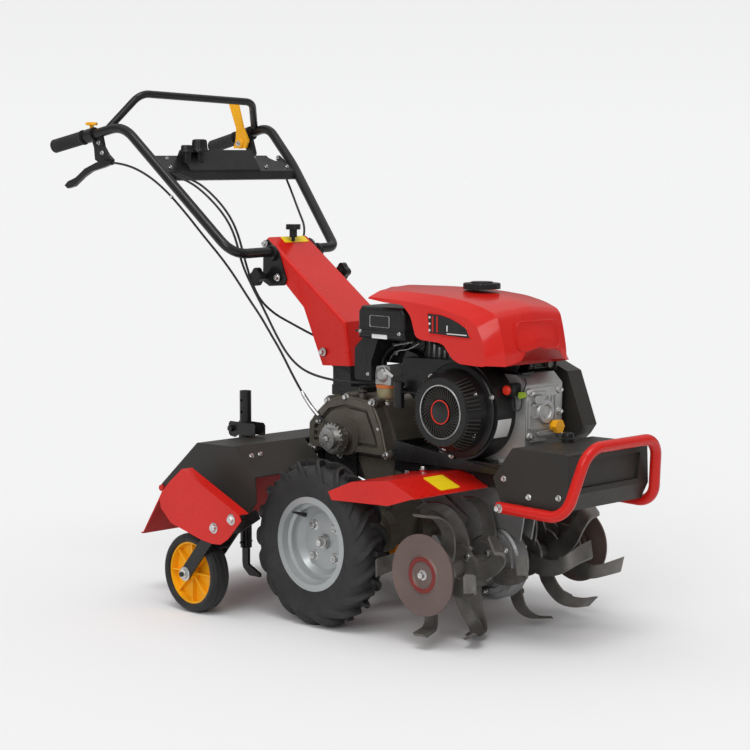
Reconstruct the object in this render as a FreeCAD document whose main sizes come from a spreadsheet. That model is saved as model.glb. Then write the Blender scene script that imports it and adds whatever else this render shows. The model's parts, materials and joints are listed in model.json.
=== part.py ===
import FreeCAD, Part
import math
import os
from FreeCAD import Placement, Rotation, Vector
from types import SimpleNamespace

import Sketcher

# Mini tiller: two driven wheels, a tine rotor ahead of them, an engine above the rotor,
# a hood with two drag stakes and two small wheels behind, and a handlebar on a folded column.
# X points ahead, Y to the machine's left, Z up. The floor is Z = 0 and the middle plane Y = 0.
# Every chassis piece is drawn from the main axle: x ahead of it, z above it.

doc = FreeCAD.newDocument("mini_tiller")
sheet = doc.addObject("Spreadsheet::Sheet", "Sizes")

SIZES = {
    # stance
    "axle_x": 154.0,
    "tyre_radius": 202.0,
    "tyre_width": 100.0,
    "wheel_middle": 265.0,
    "fit_gap": 0.05,
    "static_gap": 0.3,
    "sheet_wall": 3.0,
    # main wheels
    "rim_radius": 114.5,
    "rim_width": 70.0,
    "rim_wall": 3.0,
    "well_radius": 92.0,
    "disc_inset": 52.0,
    "disc_bolt_circle": 52.0,
    "half_shaft_radius": 17.5,
    "hub_flange_radius": 68.0,
    # axle case and gearbox
    "axle_case_radius": 40.0,
    "axle_case_half": 150.0,
    "gearbox_near": 60.0,
    "gearbox_far": 55.0,
    "cover_depth": 38.0,
    "gearbox_bottom": 190.0,
    "gearbox_top": 344.0,
    "input_ahead": -85.0,
    "input_up": 233.0,
    "input_hub_radius": 35.0,
    "input_hub_teeth": 20.0,
    # frame under the engine
    "rail_offset": 72.0,
    "rail_wall": 6.0,
    "rail_bottom": 156.0,
    "plate_top": 218.0,
    "plate_thick": 8.0,
    "frame_front": 655.0,
    # tine rotor and its case
    "tine_ahead": 350.0,
    "tine_drop": 27.0,
    "tine_shaft_radius": 15.0,
    "drum_radius": 92.0,
    "drum_right": 60.0,
    "drum_left": 5.0,
    "flange_near": 80.0,
    "flange_mid": 152.0,
    "flange_far": 228.0,
    "flange_radius": 54.0,
    "flange_wall": 6.0,
    "tine_thick": 6.0,
    "tine_reach": 166.0,
    "tine_root_width": 44.0,
    "tine_tip_width": 40.0,
    "tine_bend": 38.0,
    "run_gap": 5.0,
    "side_disc_radius": 95.0,
    "side_disc_offset": 279.0,
    # tine fenders
    "fender_inner": 80.0,
    "fender_outer": 330.0,
    # front cover box and bumper
    "box_half": 145.0,
    "box_top": 268.0,
    "box_front": 662.0,
    "bumper_tube": 13.0,
    "bumper_wall": 2.0,
    "bumper_top": 286.0,
    # rear hood, flap, side plates, drag stakes
    "hood_half": 340.0,
    "hood_top": 214.0,
    "hood_rear": -367.0,
    "hood_front": -231.0,
    "flap_half": 334.0,
    "hinge_back": -502.0,
    "hinge_up": 84.0,
    "hinge_rod": 5.0,
    "plate_inside": 415.9,
    "arm_wall": 5.0,
    "small_radius": 99.0,
    "small_width": 54.0,
    "small_middle": 378.0,
    "small_back": -328.0,
    "small_rim_radius": 77.5,
    "small_axle_radius": 6.0,
    "stake_back": -373.0,
    "stake_offset": 172.0,
    "stake_radius": 15.0,
    "stake_top": 330.0,
    "stake_end": -75.0,
    # column, handlebar clamp and handlebar
    "column_half": 72.0,
    "clamp_back": -374.0,
    "clamp_up": 678.0,
    "bar_radius": 12.7,
    "bar_wall": 2.0,
    "bar_bend": 62.0,
    "arm_inside": 239.9,
    "bail_radius": 10.0,
    "grip_radius": 17.0,
    "grip_length": 112.0,
    # engine
    "crank_ahead": 317.0,
    "crank_up": 338.0,
    "engine_near": 55.0,
    "engine_far": 88.0,
    "shroud_radius": 118.0,
    "recoil_radius": 112.0,
    "recoil_face": 186.0,
    "tank_right": 190.0,
    "tank_left": 95.0,
    "cap_radius": 44.0,
}

for row, (alias, value) in enumerate(SIZES.items(), start=1):
    sheet.set("A%d" % row, alias)
    sheet.set("B%d" % row, str(value))
    sheet.setAlias("B%d" % row, alias)
doc.recompute()


class Size:
    # A length that carries its value together with the expression it comes from.
    def __init__(self, value, text):
        self.value = value
        self.text = text

    def joined(self, other, sign, value):
        return Size(value, "(%s %s %s)" % (self.text, sign, other.text))

    def __add__(self, other):
        other = as_size(other)
        return self.joined(other, "+", self.value + other.value)

    def __sub__(self, other):
        other = as_size(other)
        return self.joined(other, "-", self.value - other.value)

    def __mul__(self, other):
        other = as_size(other)
        return self.joined(other, "*", self.value * other.value)

    def __truediv__(self, other):
        other = as_size(other)
        return self.joined(other, "/", self.value / other.value)

    def __radd__(self, other):
        return as_size(other) + self

    def __rsub__(self, other):
        return as_size(other) - self

    def __rmul__(self, other):
        return as_size(other) * self

    def __neg__(self):
        return Size(-self.value, "(0 - %s)" % self.text)


def as_size(number):
    if isinstance(number, Size):
        return number
    return Size(float(number), "%.6g" % number)


def bind(target, path, size):
    target.setExpression(path, as_size(size).text)


S = SimpleNamespace(**{alias: Size(value, "Sizes." + alias) for alias, value in SIZES.items()})

PLANE_ROLES = {"XY": "XY_Plane", "XZ": "XZ_Plane", "YZ": "YZ_Plane"}
NORMAL_SIGN = {"XY": 1, "XZ": -1, "YZ": 1}
pieces = []


# ---- small modelling helpers ----

def new_body(label, ahead=0, side=0, up=0):
    # A body whose own origin lies on the main axle, or on a point given from there.
    made = doc.addObject("PartDesign::Body", label)
    made.Label = label
    made.AllowCompound = True
    bind(made, "Placement.Base.x", S.axle_x + ahead)
    bind(made, "Placement.Base.y", as_size(side))
    bind(made, "Placement.Base.z", S.tyre_radius + up)
    pieces.append(made)
    return made


def new_sketch(made, plane, at):
    drawn = made.newObject("Sketcher::SketchObject", made.Label + "_sketch")
    role = PLANE_ROLES[plane]
    base = next(item for item in made.Origin.OriginFeatures if item.Role == role)
    drawn.AttachmentSupport = (base, [""])
    drawn.MapMode = "FlatFace"
    bind(drawn, "AttachmentOffset.Base.z", as_size(at) * NORMAL_SIGN[plane])
    return drawn


def pin_point(drawn, element, vertex, point):
    for kind, size in zip(("DistanceX", "DistanceY"), point):
        size = as_size(size)
        index = drawn.addConstraint(Sketcher.Constraint(kind, -1, 1, element, vertex, size.value))
        drawn.setExpression("Constraints[%d]" % index, size.text)


def draw_polygon(drawn, points):
    count = len(points)
    corners = [Vector(as_size(u).value, as_size(v).value, 0) for u, v in points]
    first = drawn.GeometryCount
    for i in range(count):
        drawn.addGeometry(Part.LineSegment(corners[i], corners[(i + 1) % count]), False)
    for i in range(count):
        after = first + (i + 1) % count
        drawn.addConstraint(Sketcher.Constraint("Coincident", first + i, 2, after, 1))
    for i, point in enumerate(points):
        pin_point(drawn, first + i, 1, point)


def draw_circle(drawn, centre, radius):
    radius = as_size(radius)
    middle = Vector(as_size(centre[0]).value, as_size(centre[1]).value, 0)
    index = drawn.addGeometry(Part.Circle(middle, Vector(0, 0, 1), radius.value), False)
    pin_point(drawn, index, 3, centre)
    size_at = drawn.addConstraint(Sketcher.Constraint("Radius", index, radius.value))
    drawn.setExpression("Constraints[%d]" % size_at, radius.text)


def draw(drawn, shapes):
    # A shape is a list of corners, or a circle given as a dictionary.
    for shape in shapes:
        if isinstance(shape, dict):
            draw_circle(drawn, shape["centre"], shape["radius"])
        else:
            draw_polygon(drawn, shape)


def ring(centre, radius):
    return {"centre": centre, "radius": radius}


def slab(made, plane, shapes, start, end, cut=False):
    # A flat outline carried from start to end along the plane's axis, added or cut away.
    start = as_size(start)
    end = as_size(end)
    drawn = new_sketch(made, plane, (start + end) / 2)
    draw(drawn, shapes)
    kind = "PartDesign::Pocket" if cut else "PartDesign::Pad"
    feature = made.newObject(kind, made.Label + ("_cut" if cut else "_pad"))
    feature.Profile = drawn
    feature.SideType = "Symmetric"
    bind(feature, "Length", end - start)
    made.Tip = feature
    return feature


def turned(made, points, cut=False, angle=360):
    # A profile of (distance along Y, radius) turned about the body's Y axis.
    drawn = new_sketch(made, "YZ", 0)
    draw_polygon(drawn, points)
    kind = "PartDesign::Groove" if cut else "PartDesign::Revolution"
    feature = made.newObject(kind, made.Label + "_turned")
    feature.Profile = drawn
    feature.ReferenceAxis = (drawn, ["H_Axis"])
    feature.Angle = angle
    made.Tip = feature
    return feature


def repeat_round(made, features, count):
    # The features repeated evenly about the body's Y axis.
    pattern = made.newObject("PartDesign::PolarPattern", made.Label + "_round")
    pattern.Originals = features
    axis = next(item for item in made.Origin.OriginFeatures if item.Role == "Y_Axis")
    pattern.Axis = (axis, [""])
    pattern.Angle = 360
    bind(pattern, "Occurrences", count)
    made.Tip = pattern
    return pattern


def soften(made, radius, chosen):
    # Rounds the edges of the body's last feature that the test picks.
    doc.recompute()
    base = made.Tip
    edges = enumerate(base.Shape.Edges, start=1)
    names = ["Edge%d" % i for i, edge in edges if chosen(edge)]
    feature = made.newObject("PartDesign::Fillet", made.Label + "_fillet")
    feature.Base = (base, names)
    bind(feature, "Radius", radius)
    made.Tip = feature
    return feature


def runs_along(axis, near=None, reach=1.0):
    # Picks straight edges along one axis, and only those that pass near a point if one is given.
    direction = {"X": Vector(1, 0, 0), "Y": Vector(0, 1, 0), "Z": Vector(0, 0, 1)}[axis]

    def chosen(edge):
        if edge.Curve.TypeId != "Part::GeomLine":
            return False
        if abs(abs(edge.tangentAt(edge.FirstParameter).dot(direction)) - 1) > 1e-6:
            return False
        if near is None:
            return True
        middle = edge.CenterOfMass
        offset = middle - Vector(*near)
        return (offset - direction * offset.dot(direction)).Length < reach

    return chosen


def bent_path(points, bend=None):
    # Straight runs joined by tangent arcs. With no bend radius each arc is as large as its runs allow.
    edges = []
    start = points[0]
    radii = []
    for i in range(1, len(points) - 1):
        before = points[i] - points[i - 1]
        after = points[i + 1] - points[i]
        turn = before.getAngle(after)
        shorter = min(before.Length, after.Length)
        radius = bend if bend else 0.45 * shorter / math.tan(turn / 2)
        cutback = radius * math.tan(turn / 2)
        arc_start = points[i] - before.normalize() * cutback
        arc_end = points[i] + after.normalize() * cutback
        toward = ((arc_start + arc_end) / 2 - points[i]).normalize()
        middle = points[i] + toward * (radius / math.cos(turn / 2) - radius)
        if (arc_start - start).Length > 1e-6:
            edges.append(Part.LineSegment(start, arc_start).toShape())
        edges.append(Part.Arc(arc_start, middle, arc_end).toShape())
        radii.append(round(radius, 1))
        start = arc_end
    edges.append(Part.LineSegment(start, points[-1]).toShape())
    return Part.Wire(edges), radii


def swept_round(path, radius):
    first = path.Edges[0]
    circle = Part.Circle(first.Vertexes[0].Point, first.tangentAt(first.FirstParameter), radius)
    return path.makePipeShell([Part.Wire([circle.toShape()])], True, False)


def tube_shape(points, radius, wall=None, bend=None):
    path, radii = bent_path(points, bend)
    made = swept_round(path, radius)
    if wall:
        made = made.cut(swept_round(path, radius - wall))
    return made


def cord_shape(name, points, radius):
    path, radii = bent_path(points)
    made = swept_round(path, radius)
    expected = math.pi * radius ** 2 * path.Length
    print(name, "radii", radii, "volume ratio", round(made.Volume / expected, 4))
    return made


def new_shape(label, shape, ahead=0, up=0):
    made = doc.addObject("Part::Feature", label)
    made.Label = label
    made.Shape = shape
    base = S.axle_x + ahead
    height = S.tyre_radius + up
    made.Placement = Placement(Vector(base.value, 0, height.value), Rotation())
    pieces.append(made)
    return made


def mirrored(points):
    return [Vector(p.x, -p.y, p.z) for p in points]


SIDES = {"left": 1, "right": -1}


def between(side, low, high):
    # Start and end along Y on one side of the machine, in rising order.
    low = as_size(low)
    high = as_size(high)
    return (low, high) if side > 0 else (-high, -low)


def inset(points, wall):
    # The same run of corners moved to the right of its direction of travel by the sheet's wall.
    values = [Vector(as_size(u).value, as_size(v).value, 0) for u, v in points]
    rights = []
    for a, b in zip(values, values[1:]):
        along = (b - a).normalize()
        rights.append(Vector(along.y, -along.x, 0))
    moved = []
    for i, (u, v) in enumerate(points):
        before = rights[max(i - 1, 0)]
        after = rights[min(i, len(rights) - 1)]
        mitre = before + after
        mitre = mitre * (2 / mitre.dot(mitre))
        moved.append((u + wall * mitre.x, v + wall * mitre.y))
    return moved


def hexagon(spot, radius):
    angles = [math.radians(60 * k) for k in range(6)]
    return [(spot[0] + radius * math.cos(a), spot[1] + radius * math.sin(a)) for a in angles]


def sheet_run(points, wall):
    # A strip of sheet whose outer face follows the corners.
    inner = inset(points, wall)
    return list(points) + inner[::-1]


def round_bar(made, plane, centre, radius, start, end, bore=None):
    feature = slab(made, plane, [ring(centre, radius)], start, end)
    if bore is not None:
        feature = slab(made, plane, [ring(centre, bore)], start, end, cut=True)
    return feature


# ---- main wheels ----

def main_wheel(name, side):
    middle = S.wheel_middle * side

    tyre = new_body("tyre_" + name, side=middle)
    half = S.tyre_width / 2
    bead = S.rim_width / 2 - S.rim_wall - 0.3
    crown = S.tyre_radius
    section = [
        (-bead, S.rim_radius - 12), (-bead, S.rim_radius + 1), (-bead - 4, S.rim_radius + 6),
        (-half, S.rim_radius + 34),
        (-half, crown - 26), (-half + 14, crown - 3), (-half + 30, crown),
        (half - 30, crown), (half - 14, crown - 3), (half, crown - 26),
        (half, S.rim_radius + 34), (bead + 4, S.rim_radius + 6), (bead, S.rim_radius + 1),
        (bead, S.rim_radius - 12),
        (bead - 8, S.rim_radius - 12), (bead - 6, S.rim_radius + 8), (half - 10, S.rim_radius + 36),
        (half - 10, crown - 30), (half - 24, crown - 14), (-half + 24, crown - 14),
        (-half + 10, crown - 30), (-half + 10, S.rim_radius + 36), (-bead + 6, S.rim_radius + 8),
        (-bead + 8, S.rim_radius - 12),
    ]
    turned(tyre, section)
    soften(tyre, 6, lambda edge: edge.Length > 2 * math.pi * S.rim_radius.value * 1.25)

    rim = new_body("wheel_rim_" + name, side=middle)
    wall = S.rim_wall
    lip = S.rim_width / 2
    seat = S.rim_radius - 14.5
    outer = [
        (-lip, S.rim_radius), (-lip + wall, S.rim_radius), (-lip + wall, seat + 2),
        (-lip + 20, seat), (-lip + 24, S.well_radius), (lip - 24, S.well_radius),
        (lip - 20, seat), (lip - wall, seat + 2), (lip - wall, S.rim_radius), (lip, S.rim_radius),
        (lip, seat - 1), (lip - 17, seat - wall), (lip - 21, S.well_radius - wall),
        (-lip + 21, S.well_radius - wall), (-lip + 17, seat - wall), (-lip, seat - 1),
    ]
    turned(rim, outer)
    face = S.disc_inset - S.wheel_middle + 198
    dish = [
        (face, 18), (face, S.hub_flange_radius), (face + 16, S.hub_flange_radius + 12),
        (face + 16, S.well_radius - wall), (face + 16 - wall, S.well_radius - wall),
        (face + 16 - wall, S.hub_flange_radius + 13.5), (face - wall, S.hub_flange_radius + 1),
        (face - wall, 18),
    ]
    turned(rim, [(u * side, v) for u, v in dish])
    low, high = between(side, -20, -10)
    holes = []
    for index in range(4):
        turn = math.radians(45 + 90 * index)
        spot = (S.disc_bolt_circle * math.cos(turn), S.disc_bolt_circle * math.sin(turn))
        holes.append(ring(spot, 5.1))
    slab(rim, "XZ", holes, low, high, cut=True)

    hub = new_body("wheel_axle_" + name, side=middle)
    seat_face = face - wall
    stub = [
        (-S.wheel_middle + 62, 0), (-S.wheel_middle + 62, S.half_shaft_radius),
        (-S.wheel_middle + 186, S.half_shaft_radius), (-S.wheel_middle + 186, 27),
        (seat_face - 8, 27), (seat_face - 8, S.hub_flange_radius - 2),
        (seat_face, S.hub_flange_radius - 2), (seat_face, 17.7), (face + 10, 17.7),
        (face + 10, 12), (face + 14, 12), (face + 14, 0),
    ]
    turned(hub, [(u * side, v) for u, v in stub])
    studs = []
    nuts = []
    for index in range(4):
        turn = math.radians(45 + 90 * index)
        spot = (S.disc_bolt_circle * math.cos(turn), S.disc_bolt_circle * math.sin(turn))
        studs.append(ring(spot, 5.0))
        nuts.append(hexagon(spot, 9.2))
    slab(hub, "XZ", studs, *between(side, seat_face, face + 12))
    slab(hub, "XZ", nuts, *between(side, face, face + 8))


for name, side in SIDES.items():
    main_wheel(name, side)


# ---- axle case, gearbox and drive hub ----

axle_case = new_body("axle_case")
neck = [
    (-104, S.gearbox_bottom), (62, S.gearbox_bottom), (52, 120), (40, 30), (30, -22), (10, -40),
    (-10, -40), (-30, -22), (-46, 30), (-66, 120),
]
slab(axle_case, "XZ", [neck], -44, 40)
soften(axle_case, 8, runs_along("Y"))
round_bar(axle_case, "XZ", (0, 0), S.axle_case_radius - 6, -S.axle_case_half, S.axle_case_half)
for low in (-S.axle_case_half - 14, S.axle_case_half):
    round_bar(axle_case, "XZ", (0, 0), S.axle_case_radius, low, low + 14)
for low in (-74, 40):
    slab(axle_case, "XZ", [ring((0, 0), S.axle_case_radius + 12)], low, low + 30)
slab(axle_case, "XZ", [[(-80, 180), (38, 180), (24, 60), (-36, 60)]], -48, 44)
bore = S.half_shaft_radius + S.fit_gap
round_ends = S.axle_case_half + 15
slab(axle_case, "XZ", [ring((0, 0), bore)], -round_ends, round_ends, cut=True)

gearbox = new_body("gearbox")
case_outline = [
    (-226, S.gearbox_bottom), (-225, 262), (-156, 326), (-84, 342), (10, 333), (46, 262),
    (68, 202), (62, S.gearbox_bottom),
]
slab(gearbox, "XZ", [case_outline], -S.gearbox_near, S.gearbox_far)
soften(gearbox, 18, lambda edge: runs_along("Y")(edge) and edge.CenterOfMass.z > 250)
cover = [
    (-214, 199), (-214, 258), (-152, 315), (-84, 331), (2, 323), (35, 258), (52, 199),
]
slab(gearbox, "XZ", [cover], -S.gearbox_near - S.cover_depth, -S.gearbox_near)
soften(gearbox, 16, lambda edge: runs_along("Y")(edge) and edge.CenterOfMass.z > 250
       and edge.CenterOfMass.y < -S.gearbox_near.value)
pocket = [(-198, 214), (-198, 250), (-145, 300), (-84, 314), (-10, 307), (18, 252), (30, 214)]
slab(gearbox, "XZ", [pocket], -S.gearbox_near - S.cover_depth, -S.gearbox_near - 26, cut=True)
inner_case = [(-190, 222), (-190, 246), (-140, 292), (-84, 304), (-18, 298), (6, 246), (16, 222)]
slab(gearbox, "XZ", [inner_case], -S.gearbox_near - 34, -S.gearbox_near - 20)
for rib_up in (222, 238):
    rib = [(-196, rib_up), (-132, rib_up), (-132, rib_up + 6), (-196, rib_up + 6)]
    slab(gearbox, "XZ", [rib], -S.gearbox_near - 38, -S.gearbox_near - 20)
hub_spot = (S.input_ahead, S.input_up)
slab(gearbox, "XZ", [ring(hub_spot, 46)], -S.gearbox_near - 40, -S.gearbox_near - 20)
slab(gearbox, "XZ", [ring(hub_spot, 27)], -S.gearbox_near - 48, -S.gearbox_near - 20)
ear_spots = [(-213, 196), (-150, 318), (-84, 332), (6, 326), (54, 199)]
for spot in ear_spots:
    slab(gearbox, "XZ", [ring(spot, 12)], -S.gearbox_near - 30, -S.gearbox_near + 8)
    slab(gearbox, "XZ", [ring(spot, 6.5)], -S.gearbox_near - 36, -S.gearbox_near - 20)
slab(gearbox, "XY", [ring((-44, -78), 9)], 318, 352)
hub_bore = ring(hub_spot, S.fit_gap + 15)
slab(gearbox, "XZ", [hub_bore], -S.gearbox_near - 49, -S.gearbox_near - 10, cut=True)

drive_hub = new_body("drive_hub", ahead=S.input_ahead, up=S.input_up)
face = S.gearbox_near
turned(drive_hub, [
    (-face - 12, 0), (-face - 12, 15), (-face - 49, 15), (-face - 49, 24),
    (-face - 62, 24), (-face - 62, S.input_hub_radius), (-face - 90, S.input_hub_radius),
    (-face - 90, 26), (-face - 104, 26), (-face - 104, 12), (-face - 98, 12), (-face - 98, 0),
])
tooth = [
    (S.input_hub_radius - 1, -3.4), (S.input_hub_radius + 4, -2.0), (S.input_hub_radius + 4, 2.0),
    (S.input_hub_radius - 1, 3.4),
]
teeth = slab(drive_hub, "XZ", [tooth], -face - 86, -face - 66)
repeat_round(drive_hub, [teeth], S.input_hub_teeth)


# ---- frame under the engine ----

frame = new_body("base_frame")
rail_top = S.plate_top - S.plate_thick
rail = [
    (66, S.rail_bottom + 8), (120, S.rail_bottom), (620, S.rail_bottom),
    (S.frame_front, S.rail_bottom + 14), (S.frame_front, rail_top), (66, rail_top),
]
for side in (1, -1):
    start, end = between(side, S.rail_offset, S.rail_offset + S.rail_wall)
    slab(frame, "XZ", [rail], start, end)
    windows = []
    for ahead in (150, 260, 560):
        low = S.rail_bottom + 14
        high = rail_top - 12
        windows.append([(ahead, low), (ahead + 70, low), (ahead + 60, high), (ahead + 10, high)])
    slab(frame, "XZ", windows, start, end, cut=True)
deck = [(78, -100), (500, -100), (500, 96), (78, 96)]
slab(frame, "XY", [deck], rail_top, S.plate_top)
foot_holes = [ring((ahead, across), 5) for ahead in (210, 372) for across in (-62, 58)]
drain_window = [(270, -40), (320, -40), (320, 40), (270, 40)]
slab(frame, "XY", foot_holes + [drain_window], rail_top, S.plate_top, cut=True)
bar_low = S.rail_bottom + 20
front_bar = [(640, bar_low), (S.frame_front, bar_low), (S.frame_front, rail_top), (640, rail_top)]
slab(frame, "XZ", [front_bar], -S.rail_offset, S.rail_offset)
slab(frame, "YZ", [[(-140, 196), (140, 196), (140, rail_top), (-140, rail_top)]], 560, 600)
near_apron = [(88, 242), (487, 200), (487, 194), (88, 194)]
slab(frame, "XZ", [near_apron], -S.rail_offset - S.rail_wall - 26, -S.rail_offset - S.rail_wall - 22)
slab(frame, "XZ", [[(150, 198), (480, 198), (480, rail_top), (150, rail_top)]], -100, -78)
rear_flange = [(68.4, 196), (78, 196), (78, 236), (68.4, 236)]
slab(frame, "XZ", [rear_flange], -S.rail_offset, S.rail_offset)


# ---- tine case and rotor ----

tine_up = -S.tine_drop
tine_case = new_body("tine_case", ahead=S.tine_ahead, up=tine_up)
right_face = -S.drum_right
left_face = S.drum_left
drum = S.drum_radius
turned(tine_case, [
    (right_face + 8, 0), (right_face + 8, 30), (right_face + 2, 32), (right_face + 2, 46),
    (right_face + 9, 48), (right_face + 9, 62), (right_face + 4, 64), (right_face + 4, 76),
    (right_face + 12, 78), (right_face + 12, drum - 6), (right_face + 16, drum),
    (left_face - 16, drum), (left_face - 12, drum - 6), (left_face - 12, 78),
    (left_face - 4, 76), (left_face - 4, 64), (left_face - 9, 62), (left_face - 9, 48),
    (left_face - 2, 46), (left_face - 2, 32), (left_face - 8, 30), (left_face - 8, 0),
])
for side_face in (right_face - 4, left_face - 10):
    slab(tine_case, "XZ", [ring((0, 0), 34)], side_face, side_face + 14)
bolt_posts = []
for index in range(6):
    turn = math.radians(30 + 60 * index)
    bolt_posts.append(ring((70 * math.cos(turn), 70 * math.sin(turn)), 7))
slab(tine_case, "XZ", bolt_posts, right_face, left_face)
drive_neck = [
    (-22, 88), (-240, 218), (-262, 226), (-284, 217), (-290, 190), (-272, 172), (-90, -20),
    (-20, -40), (40, 20),
]
slab(tine_case, "XZ", [drive_neck], right_face + 12, left_face - 12)
strap = [(-60, 96), (-236, 201), (-252, 176), (-76, 66)]
slab(tine_case, "XZ", [strap], right_face + 4, left_face - 4)
deck_down = S.plate_top - S.plate_thick + S.tine_drop - S.static_gap
hanger = [(-150, deck_down), (-110, 70), (-50, 84), (50, 84), (96, 60), (130, deck_down)]
for low in (right_face + 10, left_face - 15):
    slab(tine_case, "XZ", [hanger], low, low + 5)
shaft_hole = S.tine_shaft_radius + S.fit_gap
slab(tine_case, "XZ", [ring((0, 0), shaft_hole)], right_face - 12, left_face + 10, cut=True)

FLANGES = ("flange_near", "flange_mid", "flange_far")

tine_shaft = new_body("tine_shaft", ahead=S.tine_ahead, up=tine_up)
reach = S.side_disc_offset - 6 - S.static_gap
round_bar(tine_shaft, "XZ", (0, 0), S.tine_shaft_radius, -reach, reach)
for side in (1, -1):
    sleeve_start = S.flange_near - S.flange_wall / 2 - S.tine_thick
    sleeve_run = between(side, sleeve_start, S.side_disc_offset - 6 - S.static_gap)
    slab(tine_shaft, "XZ", [ring((0, 0), 20)], *sleeve_run)
    for flange in FLANGES:
        low, high = between(side, SIZES[flange] - S.flange_wall / 2, SIZES[flange] + S.flange_wall / 2)
        slab(tine_shaft, "XZ", [ring((0, 0), S.flange_radius)], low, high)


def sickle(reach_out, depth):
    # The tine seen along the shaft: its root trails its tip by 34 degrees along two arcs.
    def edge(side):
        spots = []
        for along in (0, 0.5, 1):
            out = 24 + (reach_out - 24) * along
            sweep = -math.radians(34) * (1 - along ** 1.6)
            root_width = S.tine_root_width.value
            half_wide = 0.5 * (root_width + (S.tine_tip_width.value - root_width) * along)
            spots.append(Vector(out * math.cos(sweep) - side * half_wide * math.sin(sweep), -1,
                                out * math.sin(sweep) + side * half_wide * math.cos(sweep)))
        return spots

    lead = edge(1)
    trail = edge(-1)
    sides = [Part.Arc(*lead).toShape(), Part.makeLine(lead[2], trail[2]),
             Part.Arc(*trail[::-1]).toShape(), Part.makeLine(trail[0], lead[0])]
    return Part.Face(Part.Wire(sides)).extrude(Vector(0, depth + 2, 0))


def bent_strip(reach_out, depth):
    # The tine's plate seen from its edge: out along the flange, then round a bend of 80 degrees.
    wall = S.tine_thick.value
    inner = S.tine_bend.value
    outer = inner + wall
    last = math.radians(80)
    run = (depth - outer * (1 - math.cos(last))) / math.sin(last)
    along = Vector(math.cos(last), math.sin(last), 0) * run
    centre = Vector(reach_out - outer * math.sin(last) - along.x, outer, -60)

    def on_arc(radius, angle):
        return centre + Vector(math.sin(angle), -math.cos(angle), 0) * radius

    start_out = Vector(20, 0, -60)
    start_in = Vector(20, wall, -60)
    outer_arc = [on_arc(outer, last * k / 2) for k in range(3)]
    inner_arc = [on_arc(inner, last * k / 2) for k in range(3)]
    edges = [
        Part.makeLine(start_out, outer_arc[0]), Part.Arc(*outer_arc).toShape(),
        Part.makeLine(outer_arc[2], outer_arc[2] + along),
        Part.makeLine(outer_arc[2] + along, inner_arc[2] + along),
        Part.makeLine(inner_arc[2] + along, inner_arc[2]), Part.Arc(*inner_arc[::-1]).toShape(),
        Part.makeLine(inner_arc[0], start_in), Part.makeLine(start_in, start_out),
    ]
    return Part.Face(Part.Wire(edges)).extrude(Vector(0, 0, 120))


def tine(reach_out, depth):
    # One curved tine, its root on the flange's inner face and its blade bent outward over it.
    return bent_strip(reach_out, depth).common(sickle(reach_out, depth))


axle_distance = math.hypot(S.tine_ahead.value, S.tine_drop.value)
tyre_limit = axle_distance - S.tyre_radius.value - S.run_gap.value
far_reach = math.sqrt(tyre_limit ** 2 - (S.tine_tip_width.value / 2) ** 2) - 1
TINE_ROWS = {
    "flange_near": {"reach": S.tine_reach.value, "depth": 64, "right": 10, "left": -80},
    "flange_mid": {"reach": S.tine_reach.value, "depth": 59, "right": 30, "left": 45},
    "flange_far": {"reach": far_reach, "depth": 69, "right": 2, "left": -14},
}


def tine_set(name, side):
    # Four tines on each of the three flanges of one side.
    made = []
    for flange, row in TINE_ROWS.items():
        blade = tine(row["reach"], row["depth"])
        seat = SIZES[flange] - S.flange_wall.value / 2 - S.tine_thick.value
        for quarter in range(4):
            placed = blade.copy()
            placed.rotate(Vector(), Vector(0, -1, 0), row[name] + 90 * quarter)
            placed.translate(Vector(0, seat, 0))
            if side < 0:
                placed = placed.mirror(Vector(), Vector(0, 1, 0))
            made.append(placed)
    new_shape("tines_" + name, Part.makeCompound(made), ahead=S.tine_ahead, up=tine_up)


for name, side in SIDES.items():
    tine_set(name, side)

side_discs = new_body("side_discs", ahead=S.tine_ahead, up=tine_up)
for side in (1, -1):
    inner = S.side_disc_offset - 6
    dish = [
        (inner, 0), (inner, 28), (inner + 4, 34), (inner + 4, 40), (inner, 46), (inner, 60),
        (inner + 3, S.side_disc_radius), (inner + 7, S.side_disc_radius), (inner + 4, 61),
        (inner + 4, 47), (inner + 8, 41), (inner + 8, 33), (inner + 4, 27), (inner + 4, 0),
    ]
    turned(side_discs, [(u * side, v) for u, v in dish])


# ---- engine ----

engine = new_body("engine_block", ahead=S.crank_ahead, up=S.crank_up)
floor_up = S.plate_top - S.crank_up
case_side = [
    (-104, floor_up), (134, floor_up), (134, floor_up + 10), (146, floor_up + 22), (146, 62),
    (120, 86), (-70, 86), (-104, 40),
]
slab(engine, "XZ", [case_side], -S.engine_near, S.engine_far - 10)
soften(engine, 6, runs_along("Y", near=(146, 0, 62)))
far_cover = [(-92, floor_up + 14), (134, floor_up + 14), (134, 60), (108, 74), (-64, 74), (-92, 34)]
slab(engine, "XZ", [far_cover], S.engine_far - 10, S.engine_far)
for ahead in (-78, 112):
    foot_top = floor_up + 9
    foot = [(ahead - 26, floor_up), (ahead + 26, floor_up), (ahead + 26, foot_top), (ahead - 26, foot_top)]
    slab(engine, "XZ", [foot], -S.engine_near - 22, S.engine_far + 6)
for up in (-70, -42, -14, 14, 42):
    slab(engine, "XZ", [[(146, up), (154, up), (154, up + 4), (146, up + 4)]], -40, 14)
for back in range(7):
    start = -96 - 17 * back
    low = -6 + 6 * back
    fin = [(start, low), (start - 6, low + 2), (start - 2, low + 128), (start + 4, low + 126)]
    slab(engine, "XZ", [fin], -50, 74)
barrel = [(-70, 6), (-204, 52), (-196, 142), (-62, 84)]
slab(engine, "XZ", [barrel], -36, 60)
head_cover = [(-204, 44), (-226, 54), (-214, 160), (-192, 152)]
slab(engine, "XZ", [head_cover], -44, 68)
soften(engine, 5, runs_along("Y", near=(-226, 0, 54)))
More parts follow.
